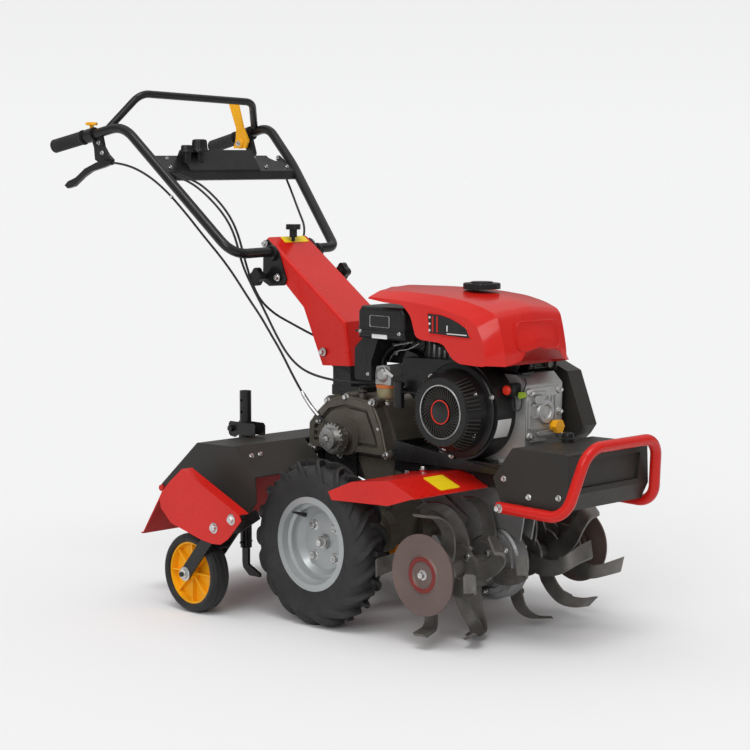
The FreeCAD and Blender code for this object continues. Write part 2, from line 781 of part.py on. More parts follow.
round_bar(engine, "XZ", (0, 0), 26, S.engine_far, S.engine_far + 8)

shroud = new_body("fan_shroud", ahead=S.crank_ahead, up=S.crank_up)
shroud_back = -S.engine_near - 0.3
shroud_front = -S.recoil_face + 66
lead = [(-30, -90), (-188, 32), (-206, 60), (-196, 108), (-50, 112), (60, 92), (60, -60)]
slab(shroud, "XZ", [ring((0, 0), S.shroud_radius)], shroud_front, shroud_back)
slab(shroud, "XZ", [lead], shroud_front + 14, shroud_back)
slab(shroud, "XZ", [ring((0, 0), S.shroud_radius - 4)], shroud_front + 4, shroud_back, cut=True)
soften(shroud, 5, runs_along("Y", near=(-206, 0, 60)))

recoil = new_body("recoil_starter", ahead=S.crank_ahead, up=S.crank_up)
seat = shroud_front - 0.3
face = -S.recoil_face
turned(recoil, [
    (seat, 0), (seat, S.recoil_radius), (seat - 5, S.recoil_radius), (seat - 7, S.recoil_radius - 3),
    (seat - 9, S.recoil_radius - 14), (seat - 30, S.recoil_radius - 18), (face + 8, 84),
    (face, 80), (face, 62), (face + 5, 59), (face + 5, 0),
])
ears = []
for index in range(3):
    turn = math.radians(20 + 120 * index)
    spot = (S.recoil_radius * math.cos(turn), S.recoil_radius * math.sin(turn))
    ears.append(ring(spot, 9))
slab(recoil, "XZ", ears, seat - 5, seat)
slab(recoil, "XZ", [[(-120, 16), (-84, 16), (-84, 44), (-108, 44)]], seat - 26, seat)

pull_handle = new_body("pull_handle", ahead=129, side=-128, up=358)
slab(pull_handle, "XY", [[(-13, -9), (13, -9), (13, 9), (-13, 9)]], -31, 31)
soften(pull_handle, 7, runs_along("Z"))
slab(pull_handle, "XZ", [ring((0, 8), 8)], 6, 21.7)
slab(pull_handle, "YZ", [ring((0, 8), 2.5)], 12, 66)

tank = new_body("fuel_tank")
profile = [
    (78, 573), (90, 598), (160, 613), (340, 606), (440, 588), (486, 566), (500, 470), (494, 451),
    (371, 459), (329, 495), (245, 497), (223, 563), (191, 580),
]
slab(tank, "XZ", [profile], -S.tank_right, S.tank_left)
soften(tank, 14, lambda edge: abs(edge.CenterOfMass.y) > 60 and edge.CenterOfMass.z > 500
       and edge.CenterOfMass.z > 582 - 0.4 * max(edge.CenterOfMass.x - 300, 0)
       and abs(edge.tangentAt(edge.FirstParameter).y) < 0.1)
window = [(281, 566), (288, 515), (417, 516), (402, 542), (350, 558)]
slab(tank, "XZ", [window], -S.tank_right - 1, -S.tank_right + 3, cut=True)
corner_cut = [(446, -S.tank_right - 1), (510, -S.tank_right - 1), (510, -115), (498, -115)]
slab(tank, "XY", [corner_cut], 440, 530, cut=True)
round_bar(tank, "XY", (322, -50), 34, 590, 618)
for low in (-52, -14):
    stay = [(345, 424.3), (430, 424.3), (450, 462), (330, 502)]
    slab(tank, "XZ", [stay], low, low + 12)

cap = new_body("fuel_cap", ahead=322, side=-50, up=618)
slab(cap, "XY", [ring((0, 0), S.cap_radius)], 0.3, 14)
soften(cap, 3, lambda edge: edge.CenterOfMass.z > 13)
grips = slab(cap, "XY", [ring((S.cap_radius + 2.2, 0), 4)], 0, 15, cut=True)
cap_grips = cap.newObject("PartDesign::PolarPattern", "cap_grips")
cap_grips.Originals = [grips]
cap_grips.Axis = (next(item for item in cap.Origin.OriginFeatures if item.Role == "Z_Axis"), [""])
cap_grips.Angle = 360
cap_grips.Occurrences = 24
cap.Tip = cap_grips
slab(cap, "XY", [ring((0, 0), 26)], 14, 17)

cleaner = new_body("air_cleaner")
box = [(30, 492), (185, 492), (185, 556), (176, 570), (40, 570), (30, 556)]
slab(cleaner, "XZ", [box], -170, -50.5)
soften(cleaner, 9, lambda edge: edge.CenterOfMass.y < -168)
slab(cleaner, "XZ", [[(26, 506), (189, 506), (189, 512), (26, 512)]], -173, -44.8)
duct = [(-22, 384), (34, 384), (34, 430), (60, 492), (10, 492), (-22, 462)]
slab(cleaner, "XZ", [duct], -128, -72)
soften(cleaner, 8, runs_along("Y", near=(-22, 0, 384)))

carb = new_body("carburettor", ahead=58, side=-94, up=372)
slab(carb, "XY", [ring((0, 0), 27)], -28, 2)
slab(carb, "XY", [ring((0, 0), 20)], -34, -28)
slab(carb, "XY", [ring((0, 0), 6)], -42, -34)
slab(carb, "XZ", [[(-23, 2), (32, 2), (32, 52), (-23, 52)]], -22, 38)
slab(carb, "YZ", [ring((44, 30), 13)], -20, 32.6)

muffler = new_body("muffler")
can = [
    (236, 430), (425, 430), (425, 450), (338, 452), (332, 490), (244, 490), (236, 480),
]
slab(muffler, "XZ", [can], 8, 92)
soften(muffler, 6, runs_along("Y"))
slab(muffler, "XZ", [[(300, 424.3), (431, 424.3), (431, 454), (338, 456), (338, 450), (300, 450)]], 95, 97)
for ahead in (350, 410):
    slab(muffler, "XZ", [ring((ahead, 440), 5)], 92, 95)
slab(muffler, "XY", [[(262, 20), (300, 20), (300, 60), (262, 60)]], 424.3, 430)
slab(muffler, "YZ", [ring((62, 441), 8)], 425, 440)

guard = new_body("belt_guard")
guard_side = [
    (-182, 296), (-206, 246), (-200, 200), (-150, 168), (-60, 178), (60, 206), (330, 216),
    (455, 240), (492, 275), (508, 297), (458, 423), (400, 446), (210, 446), (60, 380), (-110, 330),
]
slab(guard, "XZ", [guard_side], 102, 160)
soften(guard, 10, lambda edge: edge.CenterOfMass.y > 159)
slab(guard, "XZ", [[(u * 0.97 + 4, (v - 300) * 0.94 + 300) for u, v in guard_side]], 104, 157, cut=True)
for spot, seat in (((-85, 233), 55.3), ((-150, 260), 55.3), ((317, 338), 96.3), ((400, 300), 88.3)):
    slab(guard, "XZ", [ring(spot, 14)], seat, 106)

oil_cap = new_body("oil_filler", ahead=468, side=40, up=300)
slab(oil_cap, "YZ", [ring((0, 0), 13)], -4.7, 10)
slab(oil_cap, "YZ", [hexagon((0, 0), 17)], 10, 22)


# ---- front cover box and bumper ----

front_box = new_body("front_box")
top = S.box_top
front = S.box_front
box_line = [
    (445, top - 72), (502, top), (front + 2, top + 2), (front + 6, top - 90), (front - 14, top - 130),
]
box_bottom = [(470, top - 130)]
slab(front_box, "XZ", [box_line + box_bottom], -S.box_half, S.box_half)
soften(front_box, 8, runs_along("Y", near=(664, 0, 270)))
hollow = inset(box_line, S.sheet_wall) + [(front - 20, top - 150), (430, top - 150), (430, top - 80)]
slab(front_box, "XZ", [hollow], -S.box_half + S.sheet_wall, S.box_half - S.sheet_wall, cut=True)
panel_backing = [(-124, top - 12), (124, top - 12), (112, top - 84), (-112, top - 84)]
slab(front_box, "YZ", [panel_backing], front - 5, front + 1)
front_panel = [(-118, top - 18), (118, top - 18), (106, top - 78), (-106, top - 78)]
slab(front_box, "YZ", [front_panel], front - 2, front + 20, cut=True)
deck_slot = [(430, 140), (520, 140), (520, S.plate_top + 0.4), (430, S.plate_top + 0.4)]
slab(front_box, "XZ", [deck_slot], -104.6, 100.6, cut=True)
slab(front_box, "XY", [ring((530, 20), 13)], top + 1, top + 20)
cross_strap = [(590, -140), (622, -140), (622, 140), (590, 140)]
slab(front_box, "XY", [cross_strap], 212.3, 216)
strap_post = [(596, 60), (616, 60), (616, 90), (596, 90)]
slab(front_box, "XY", [strap_post], 214, top - 1)

tube = S.bumper_tube.value
tab_inside = S.box_half.value + S.static_gap.value
leg_side = tab_inside + tube + 3
near_leg = [Vector(476, -leg_side, 132), Vector(672, -leg_side, 128), Vector(706, -124, 286)]
bumper_shape = tube_shape(near_leg + mirrored(near_leg)[::-1], tube, S.bumper_wall.value, 55)
for tab_right in (-leg_side, tab_inside):
    bumper_shape = bumper_shape.fuse(Part.makeBox(30, tube + 3, 20, Vector(500, tab_right, 121)))
new_shape("bumper", bumper_shape)


# ---- tine fenders ----

def fender(name, side):
    made = new_body("fender_" + name)
    wall = S.sheet_wall
    low, high = between(side, S.fender_outer - wall, S.fender_outer)
    skirt = [(93, 143), (104, 124), (288, 132), (373, 159), (292, 191), (169, 174)]
    slab(made, "XZ", [skirt], low, high)
    top = [(93, 143), (169, 174), (292, 191), (373, 159)]
    low, high = between(side, S.fender_inner, S.fender_outer)
    slab(made, "XZ", [sheet_run(top, wall)], low, high)
    tyre_inside = S.wheel_middle - S.tyre_width / 2 - 6
    tyre_outside = S.wheel_middle + S.tyre_width / 2 + 6
    trim_out = [(60, S.fender_inner - 20), (88, S.fender_inner - 1), (138, tyre_inside),
                (138, tyre_outside), (60, tyre_outside)]
    slab(made, "XY", [[(u, v * side) for u, v in trim_out]], 120, 240, cut=True)
    low = S.rail_offset + S.rail_wall + S.static_gap
    mount_tab = [(120, 160), (330, 158), (330, 178), (292, 189), (169, 172), (120, 166)]
    slab(made, "XZ", [mount_tab], *between(side, low, low + wall))
    for ahead, low in ((130, 154), (182, 170)):
        slab(made, "XY", [ring((ahead, 100 * side), 8)], low, low + 10)
    return made


for name, side in SIDES.items():
    fender(name, side)


# ---- rear hood, its frame, the flap, the side plates ----

hood = new_body("rear_hood")
hinge = (S.hinge_back, S.hinge_up)
hood_line = [
    (S.hinge_back - 3, S.hinge_up + 11), (S.hood_rear, S.hood_top - 1), (S.hood_front, S.hood_top + 3),
    (-152, 150),
]
end_panel = hood_line + [
    (-148, 88), (-189, 38), (-260, 13), (-400, 23), (S.hinge_back - 2, S.hinge_up - 10),
    (S.hinge_back - 10, S.hinge_up - 6), (S.hinge_back - 10, S.hinge_up + 4),
]
slab(hood, "XZ", [sheet_run(hood_line, S.sheet_wall)], -S.hood_half, S.hood_half)
for side in (1, -1):
    slab(hood, "XZ", [end_panel], *between(side, S.hood_half - S.sheet_wall, S.hood_half))
slab(hood, "XZ", [ring(hinge, S.hinge_rod + S.fit_gap)], -S.hood_half - 1, S.hood_half + 1, cut=True)
case_slot = [(-229, 150), (-100, 150), (-100, 300), (-229, 300)]
slab(hood, "XZ", [case_slot], -S.gearbox_near - S.cover_depth - 3, S.gearbox_far + 3, cut=True)
for side in (1, -1):
    spot = (S.stake_back, S.stake_offset * side)
    slab(hood, "XY", [ring(spot, S.stake_radius + 3.4)], 150, 260, cut=True)

rear_frame = new_body("rear_frame")
beam = [(-226.3, 176), (-226.3, 206), (-300, 190), (-400, 180), (-400, 150), (-300, 150)]
slab(rear_frame, "XZ", [beam], -30, 30)
slab(rear_frame, "XZ", [[(-232.3, 190), (-226.3, 190), (-226.3, 211), (-232.3, 211)]], -52, 48)
cross = [(-394, 160), (-352, 160), (-352, 180), (-394, 180)]
slab(rear_frame, "XZ", [cross], -S.hood_half + S.sheet_wall + 0.3, S.hood_half - S.sheet_wall - 0.3)
cross_bore = [(-386, 164), (-360, 164), (-360, 176), (-386, 176)]
slab(rear_frame, "XZ", [cross_bore], -S.hood_half, S.hood_half, cut=True)
for side in (1, -1):
    spot = (S.stake_back, S.stake_offset * side)
    slab(rear_frame, "XY", [ring(spot, S.stake_radius + 6)], 120, 180)
    slab(rear_frame, "XY", [ring(spot, S.stake_radius + S.fit_gap)], 110, 190, cut=True)
slab(rear_frame, "XZ", [[(-300, 186), (-262, 190), (-262, 212.8), (-300, 211.7)]], -30, 30)

flap = new_body("rear_flap", ahead=S.hinge_back, up=S.hinge_up)
ends = S.hood_half + 6
flap_sheet = [(1.2, -1.8), (-88, -131), (-97, -131), (-97, -128), (-89.6, -128), (-1.6, 1.8)]
slab(flap, "XZ", [flap_sheet], -S.flap_half, S.flap_half)
round_bar(flap, "XZ", (0, 0), S.hinge_rod, -ends, ends)
for low in (-S.hood_half - 7, S.hood_half + 1):
    slab(flap, "XZ", [ring((0, 0), S.hinge_rod + 3)], low, low + 6)


PLATE_BOLTS = ((-214, 27), (-150, 56))


def side_plate(name, side):
    # A red guard over the small wheel, bolted to the outer leg of the wheel's fork.
    made = new_body("side_plate_" + name)
    wall = S.sheet_wall
    low, high = between(side, S.plate_inside, S.plate_inside + wall)
    plate = [
        (-421, 76), (-415, 52), (-377, 19), (-263, -8), (-220, -13), (-192, -11), (-165, 5),
        (-116, 56), (-125, 71), (-333, 159), (-379, 123), (-411, 94),
    ]
    slab(made, "XZ", [plate], low, high)
    fold = sheet_run([(-333, 159), (-125, 71)], wall)
    slab(made, "XZ", [fold], *between(side, S.plate_inside - 30, S.plate_inside + wall))
    for spot in PLATE_BOLTS:
        slab(made, "XZ", [hexagon(spot, 9)], *between(side, S.plate_inside + 1, S.plate_inside + wall + 6))


def wheel_arm(name, side):
    # A fork: one leg on the hood's end, one outside the wheel, a bridge over the tyre and the axle.
    made = new_body("wheel_arm_" + name)
    drop = S.small_radius - S.tyre_radius
    half_wide = 17
    along = (0.66, 0.751)
    hub_spot = (S.small_back, drop)

    def spot_at(distance, shift):
        return (S.small_back + along[0] * distance + along[1] * shift,
                drop + along[1] * distance - along[0] * shift)

    inner_leg = (S.hood_half + S.static_gap, S.hood_half + S.static_gap + S.arm_wall)
    outer_leg = (S.plate_inside - S.static_gap - S.arm_wall, S.plate_inside - S.static_gap)
    leg = [spot_at(0, -half_wide), spot_at(150, -half_wide), (-146, 72), (-132, 50),
           spot_at(156, half_wide), spot_at(0, half_wide)]
    for low, high in (inner_leg, outer_leg):
        slab(made, "XZ", [leg], *between(side, low, high))
        slab(made, "XZ", [ring(hub_spot, half_wide)], *between(side, low, high))
    bridge_at = S.small_radius + S.run_gap + 2
    bridge = [spot_at(bridge_at, -half_wide), spot_at(bridge_at + S.arm_wall, -half_wide),
              spot_at(bridge_at + S.arm_wall, half_wide), spot_at(bridge_at, half_wide)]
    slab(made, "XZ", [bridge], *between(side, inner_leg[0], outer_leg[1]))
    axle_end = S.plate_inside - S.static_gap + 14
    slab(made, "XZ", [ring(hub_spot, S.small_axle_radius)], *between(side, inner_leg[0], axle_end))
    slab(made, "XZ", [hexagon(hub_spot, S.small_axle_radius + 5)], *between(side, outer_leg[1], axle_end - 5))


def small_wheel(name, side):
    drop = S.small_radius - S.tyre_radius
    half = S.small_width / 2
    tyre = new_body("small_tyre_" + name, ahead=S.small_back, side=S.small_middle * side, up=drop)
    turned(tyre, [
        (-half + 6, S.small_rim_radius), (-half, S.small_rim_radius + 6), (-half, S.small_radius - 7),
        (-half + 7, S.small_radius), (half - 7, S.small_radius), (half, S.small_radius - 7),
        (half, S.small_rim_radius + 6), (half - 6, S.small_rim_radius),
    ])
    hub = new_body("small_hub_" + name, ahead=S.small_back, side=S.small_middle * side, up=drop)
    rim = S.small_rim_radius - 0.3
    bore = S.small_axle_radius + S.fit_gap
    turned(hub, [
        (-half + 8, rim), (-half + 8, rim - 4), (-2, rim - 6), (-2, 17), (-half - 1, 16),
        (-half - 1, bore), (half + 1, bore), (half + 1, 16), (2, 17), (2, rim - 6),
        (half - 8, rim - 4), (half - 8, rim),
    ])
    web = [(14, -2.2), (rim - 3, -1.6), (rim - 3, 1.6), (14, 2.2)]
    spoke = slab(hub, "XZ", [web], -half + 12, half - 12)
    repeat_round(hub, [spoke], 8)


for name, side in SIDES.items():
    side_plate(name, side)
    wheel_arm(name, side)
    small_wheel(name, side)


# ---- drag stakes ----

brackets = new_body("stake_brackets")
for side in (1, -1):
    middle = S.stake_offset * side
    spot = (S.stake_back, middle)
    gap = S.stake_radius + S.fit_gap
    for hand in (1, -1):
        low, high = between(hand, gap, gap + 3)
        ear = [
            (-412, 212), (-394, 210), (-380, 219), (-366, 217.8), (-322, 218.1), (-318, 224),
            (-318, 244), (-324, 250), (-412, 250), (-418, 244), (-418, 218),
        ]
        slab(brackets, "XZ", [ear], low + middle, high + middle)
    slab(brackets, "XY", [ring(spot, S.stake_radius + 3)], 180.3, 248)
    slab(brackets, "XY", [ring(spot, gap)], 170, 262, cut=True)
    slab(brackets, "XZ", [ring((-405, 232), 5)], middle - gap - 10, middle + gap + 10)
    slab(brackets, "XZ", [ring((-405, 232), 8)], middle - gap - 12, middle - gap - 3)


def drag_stake(name, side):
    made = new_body("drag_stake_" + name, ahead=S.stake_back, side=S.stake_offset * side)
    slab(made, "XY", [ring((0, 0), S.stake_radius)], S.stake_end, S.stake_top)
    slab(made, "XY", [ring((0, 0), S.stake_radius - 3)], S.stake_end - 1, S.stake_top + 1, cut=True)
    blade = [
        (-11, -40), (11, -40), (11, -118), (54, -137), (54, -146), (15, -146), (-8, -128), (-11, -116),
    ]
    slab(made, "XZ", [blade], -4, 4)
    slab(made, "XZ", [ring((0, S.stake_end + 14), 3)], -S.stake_radius - 5, S.stake_radius + 5)
    for up in range(5):
        spot = ring((0, S.stake_top - 24 - 30 * up), 4)
        slab(made, "XZ", [spot], -S.stake_radius - 2, S.stake_radius + 2, cut=True)


for name, side in SIDES.items():
    drag_stake(name, side)


# ---- column, its post and the handlebar clamp ----

column = new_body("column")
top_line = [(-405, 698), (-398, 717), (-113, 515), (-96, 406)]
column_side = top_line + [(-193, 401), (-262, 544), (-330, 600), (-384, 654)]
slab(column, "XZ", [column_side], -S.column_half, S.column_half)
soften(column, 9, lambda edge: abs(abs(edge.CenterOfMass.y) - S.column_half.value) < 0.1
       and edge.Length > 100 and edge.CenterOfMass.x > -270 and edge.CenterOfMass.z > 440
       and edge.CenterOfMass.x + edge.CenterOfMass.z > 340)
column_hollow = inset(top_line[1:], S.sheet_wall) + [
    (-98, 380), (-420, 380), (-440, 720), (-401, 722),
]
inner_half = S.column_half - S.sheet_wall
slab(column, "XZ", [column_hollow], -inner_half, inner_half, cut=True)
pivot = (S.clamp_back, S.clamp_up)
through = S.column_half + 1
side_bolt = (-186, 436)
slab(column, "XZ", [ring(pivot, S.bar_radius + 1.5), ring(side_bolt, 5.2)], -through, through, cut=True)

post = new_body("column_post")
post_side = [
    (-178, 344), (-112, 344), (-118, 400), (-118, 496), (-198, 496), (-204, 440), (-196, 412), (-178, 396),
]
slab(post, "XZ", [post_side], -50, 50)
post_hollow = [(-174, 353), (-116, 353), (-122, 400), (-122, 497), (-174, 497)]
slab(post, "XZ", [post_hollow], -46, 46, cut=True)
post_foot = [(-182, 352), (-62, 352), (-62, 342.6), (-84, 342.6), (-156, 326.6), (-182, 326.6)]
slab(post, "XZ", [post_foot], -50, 52)
slab(post, "XZ", [ring(side_bolt, 5)], -S.column_half - 6, S.column_half + 6)
for low in (-S.column_half - 6, S.column_half + 0.3):
    slab(post, "XZ", [ring(side_bolt, 9)], low, low + 5.7)
for low in (-S.column_half + S.sheet_wall + 0.3, 50):
    slab(post, "XZ", [ring(side_bolt, 9)], low, low + 18.7)

clamp = new_body("handlebar_clamp")
plate = [
    (-408, 706), (-394, 712), (-352, 682), (-322, 612), (-330, 596), (-386, 592), (-412, 604),
    (-410, 630),
]
for side in (1, -1):
    low = S.column_half + S.static_gap
    slab(clamp, "XZ", [plate], *between(side, low, low + 4))
    slab(clamp, "XZ", [ring(pivot, 21)], *between(side, low + 4, low + 14))
    for spot in ((-396, 700), (-350, 616)):
        slab(clamp, "XZ", [hexagon(spot, 7.5)], *between(side, low + 4, low + 9))
slab(clamp, "XZ", [ring((-357, 613), 5)], -S.column_half - 1, S.column_half + 1)
slab(clamp, "XZ", [ring(pivot, S.bar_radius + S.fit_gap)], -100, 100, cut=True)


def lobes(spot, middle_radius):
    # A four-lobed knob's outline.
    outline = []
    for k in range(24):
        angle = math.radians(15 * k)
        reach_out = middle_radius + 3 * math.cos(4 * angle)
        outline.append((spot[0] + reach_out * math.cos(angle), spot[1] + reach_out * math.sin(angle)))
    return outline


knobs = new_body("star_knobs")
near_knob = {"spot": (-398, 617), "side": -1, "seat": S.column_half + 4.6}
far_knob = {"spot": (-298, 626), "side": 1, "seat": S.column_half + 0.3}
for knob in (near_knob, far_knob):
    seat = knob["seat"]
    slab(knobs, "XZ", [ring(knob["spot"], 6)], *between(knob["side"], seat, seat + 24))
    slab(knobs, "XZ", [ring(knob["spot"], 11)], *between(knob["side"], seat + 12, seat + 24))
    slab(knobs, "XZ", [lobes(knob["spot"], 20.5)], *between(knob["side"], seat + 22, seat + 38))
slab(knobs, "XY", [ring((-377, 0), 5)], 706.2, 740)
slab(knobs, "XY", [ring((-377, 0), 10)], 716, 738)
slab(knobs, "XY", [lobes((-377, 0), 20)], 736, 749)


# ---- handlebar, its grips and controls ----

pivot_point = Vector(S.clamp_back.value, 0, S.clamp_up.value)
arm_foot = pivot_point + Vector(0, 212, 0)
arm_top = Vector(-752, 257, 1003)
grip_end = Vector(-1010, 280, 950)
bar_radius = S.bar_radius.value
half_bar = [arm_foot, arm_top, grip_end]
bar_points = mirrored(half_bar)[::-1] + half_bar
bar_shape = tube_shape(bar_points, bar_radius, S.bar_wall.value, S.bar_bend.value)
new_shape("handlebar", bar_shape)

grip_run = (grip_end - arm_top).normalize()


def along_grip(distance):
    # A point on the grip's straight run, measured back from its end.
    return grip_end - grip_run * distance


def on_both_sides(shape):
    return shape.fuse(shape.mirror(Vector(), Vector(0, 1, 0)))


def ring_about(start, direction, length, outer, inner):
    outside = Part.makeCylinder(outer, length, start, direction)
    return outside.cut(Part.makeCylinder(inner, length + 2, start - direction, direction))


grip_length = S.grip_length.value
grip_radius = S.grip_radius.value
bar_hole = bar_radius + S.fit_gap.value
sleeve = ring_about(along_grip(grip_length), grip_run, grip_length + 0.5, grip_radius, bar_hole)
flange = ring_about(along_grip(grip_length), grip_run, 4, grip_radius + 3, bar_hole)
end_cap = Part.makeCylinder(grip_radius + 1.5, 4, along_grip(-0.5), grip_run)
new_shape("handle_grips", on_both_sides(sleeve.fuse(flange).fuse(end_cap)))

bail_foot = along_grip(200)
near_corner = Vector(-752, -197, 1087)
far_corner = Vector(-752, 197, 1071)
bail_line = mirrored([bail_foot]) + [near_corner, far_corner, bail_foot]
bail_shape = tube_shape(bail_line, S.bail_radius.value, None, 45)
arm_solid = tube_shape(bar_points, bar_hole + 0.1, None, S.bar_bend.value)
bail_shape = bail_shape.cut(arm_solid)
bail_shape = max(bail_shape.Solids, key=lambda solid: solid.Volume)
new_shape("handlebar_bail", bail_shape)

control_panel = new_body("control_panel")
tray_half = S.arm_inside - S.bar_radius - 1.2
tray = [(-676, 920), (-672, 925), (-608, 884), (-600, 862), (-606, 860), (-614, 876), (-676, 914)]
slab(control_panel, "XZ", [tray], -tray_half, tray_half)
tongue = [(-626, 895), (-612, 886), (-612, 875), (-626, 883)]
tongue_half = S.arm_inside - S.bar_radius - S.static_gap
slab(control_panel, "XZ", [tongue], -tongue_half, tongue_half)
raised = [(-664, 919), (-652, 940), (-644, 940), (-608, 888), (-606, 876), (-664, 908)]
slab(control_panel, "XZ", [raised], -150, 96)
finger = [(-690, 176), (-662, 176), (-650, 188), (-650, 206), (-660, 216), (-690, 216)]
slab(control_panel, "XY", [finger], 850, 990, cut=True)
KNOB_SPOTS = ((-632, -100), (-632, -142))
knob_seat = 905
for spot in KNOB_SPOTS:
    slab(control_panel, "XY", [ring(spot, 12 + S.static_gap)], knob_seat, 990, cut=True)
    slab(control_panel, "XY", [ring(spot, 20 + S.static_gap)], 933.5, 990, cut=True)

panel_knobs = new_body("panel_knobs")
for spot in KNOB_SPOTS:
    slab(panel_knobs, "XY", [ring(spot, 12)], knob_seat + S.static_gap, 936)
    slab(panel_knobs, "XY", [ring(spot, 20)], 934, 952)
soften(panel_knobs, 4, lambda edge: edge.CenterOfMass.z > 951)


def lever_mount(distance, length, radius):
    return ring_about(along_grip(distance), -grip_run, length, radius, bar_hole)


def blade_plate(outline, low, high, side):
    corners = [Vector(u, low * side, v) for u, v in outline]
    face = Part.Face(Part.makePolygon(corners + corners[:1]))
    return face.extrude(Vector(0, (high - low) * side, 0))


near_mount = lever_mount(grip_length + 16, 28, bar_radius + 6).mirror(Vector(), Vector(0, 1, 0))
lever_side = [
    (-810, 914), (-848, 906), (-896, 890), (-936, 866), (-971, 855), (-985, 844), (-972, 836),
    (-945, 842), (-905, 866), (-870, 882), (-819, 893), (-784, 902),
]
lever = blade_plate(lever_side, 263, 274, -1)
bracket_side = [
    (-876, 972), (-833, 975), (-825, 948), (-808, 928), (-788, 914), (-792, 901), (-830, 898),
    (-860, 914), (-864, 946),
]
bracket = blade_plate(bracket_side, 257, 267, -1)
ferrule = Part.makeCylinder(6, 18, Vector(-802, -268, 906), Vector(1, 0, 0))
cut_bar = Part.makeCylinder(bar_hole, 300, along_grip(0), -grip_run).mirror(Vector(), Vector(0, 1, 0))
new_shape("brake_lever", near_mount.fuse([lever, bracket, ferrule]).cut(cut_bar))

thumb_spot = along_grip(grip_length + 30)
thumb_spot = Vector(thumb_spot.x, -thumb_spot.y, thumb_spot.z)
stem = Part.makeCylinder(5, 8, thumb_spot + Vector(0, 0, bar_radius + 7.7), Vector(0, 0, 1))
button = Part.makeCylinder(14, 8, thumb_spot + Vector(0, 0, bar_radius + 14), Vector(0, 0, 1))
new_shape("lever_knob", stem.fuse(button))

far_mount = lever_mount(grip_length + 34, 20, bar_radius + 5)
folding_side = [
    (-862, 944), (-812, 944), (-800, 966), (-822, 1004), (-842, 1066), (-880, 1068), (-850, 1000),
    (-852, 968),
]
folding = blade_plate(folding_side, 224, 230, 1)
arm_link = Part.makeCylinder(7, 34, Vector(-852, 227, 958), Vector(0, 1, 0))
clear_bar = Part.makeCylinder(bar_hole, 300, along_grip(0), -grip_run)
new_shape("clutch_lever", far_mount.fuse(folding).fuse(arm_link).cut(clear_bar))

throttle_mount = lever_mount(grip_length + 56, 18, bar_radius + 7)
throttle_side = [(-842, 992), (-826, 988), (-806, 966), (-794, 930), (-806, 912), (-832, 950)]
throttle = blade_plate(throttle_side, 240, 252, 1)
new_shape("throttle_clamp", throttle_mount.fuse(throttle).cut(clear_bar))


# ---- control cables ----

def route(clips, steps):
    # A smooth line through the clips, cut into short runs.
    ends = [clips[0] * 2 - clips[1]] + clips + [clips[-1] * 2 - clips[-2]]
    points = []
    for i in range(1, len(ends) - 2):
        a, b, c, d = ends[i - 1], ends[i], ends[i + 1], ends[i + 2]
        for k in range(steps):
            w = k / steps
            points.append(b + (c - a) * (0.5 * w) + (a * 2 - b * 5 + c * 4 - d) * (0.5 * w * w)
                          + (b * 3 - a - c * 3 + d) * (0.5 * w ** 3))
    points.append(clips[-1])
    kept = points[:1]
    for i in range(1, len(points) - 1):
        if (points[i] - kept[-1]).getAngle(points[i + 1] - points[i]) > 0.01:
            kept.append(points[i])
    return kept + points[-1:]


cable_radius = 3.0
upper = {
    "brake": [(-783.4, -268, 906), (-738, -262, 903), (-670, -250, 879), (-605, -238, 838),
              (-541, -225, 780), (-486, -209, 719)],
    "throttle": [(-603.2, -214, 877), (-538, -210, 859), (-480, -200, 822), (-430, -188, 774),
                 (-403, -178, 724)],
    "stop": [(-603.2, -200, 877), (-540, -196, 864), (-484, -186, 830), (-438, -173, 784),
             (-411, -162, 733)],
    "clutch": [(-798.8, 246, 920.2), (-744, 250, 903), (-684, 247, 887), (-628, 226, 833),
               (-549, 182, 775), (-470, 132, 734)],
}
lower = {
    "brake": [(-474, -206, 706), (-437, -194, 667), (-402, -180, 620), (-367, -164, 564),
              (-335, -152, 520), (-307, -144, 477), (-277, -136, 433), (-250, -128, 384),
              (-224, -118, 338), (-190, -104, 285), (-146, -97.4, 253)],
    "throttle": [(-388, -168, 650), (-382, -160, 625), (-368, -150, 592), (-337, -136, 532),
                 (-307, -128, 477), (-270, -122, 426), (-225, -117, 393), (-168, -112, 377),
                 (-76, -108, 370), (0, -101, 374.5), (34, -98, 379.6)],
    "stop": [(-399, -144, 648), (-394, -130, 604), (-391, -104, 556), (-378, -66, 520),
             (-350, -34, 496), (-300, -12, 470), (-205.4, -4, 440)],
    "clutch": [(-456, 122, 722), (-444, 92, 688), (-430, 54, 650), (-390, 36, 606),
               (-340, 30, 560), (-250, 24, 470), (-226, 20, 380), (-214, 16, 275)],
}
for label, cables in (("cables_upper", upper), ("cables_lower", lower)):
    runs = []
    for name, clips in cables.items():
        runs.append(cord_shape(label + " " + name, route([Vector(*spot) for spot in clips], 3), cable_radius))
    new_shape(label, Part.makeCompound(runs))


# ---- check and write every piece ----

doc.recompute()
faults = []
for item in doc.Objects:
    if "Invalid" in item.State or "Error" in item.State:
        faults.append("%s: %s" % (item.Name, item.getStatusString()))
for made in pieces:
    if made.Shape.isNull() or not made.Shape.isValid() or not made.Shape.Solids:
        faults.append(made.Label + ": no valid shape")
if faults:
    raise RuntimeError("; ".join(faults))

os.makedirs("parts", exist_ok=True)
for made in pieces:
    made.Shape.exportStep("parts/%s.step" % made.Label)
print(len(pieces), "pieces written")
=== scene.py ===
import bmesh
import bpy
import json
import math
import numpy as np
from mathutils import Matrix, Vector


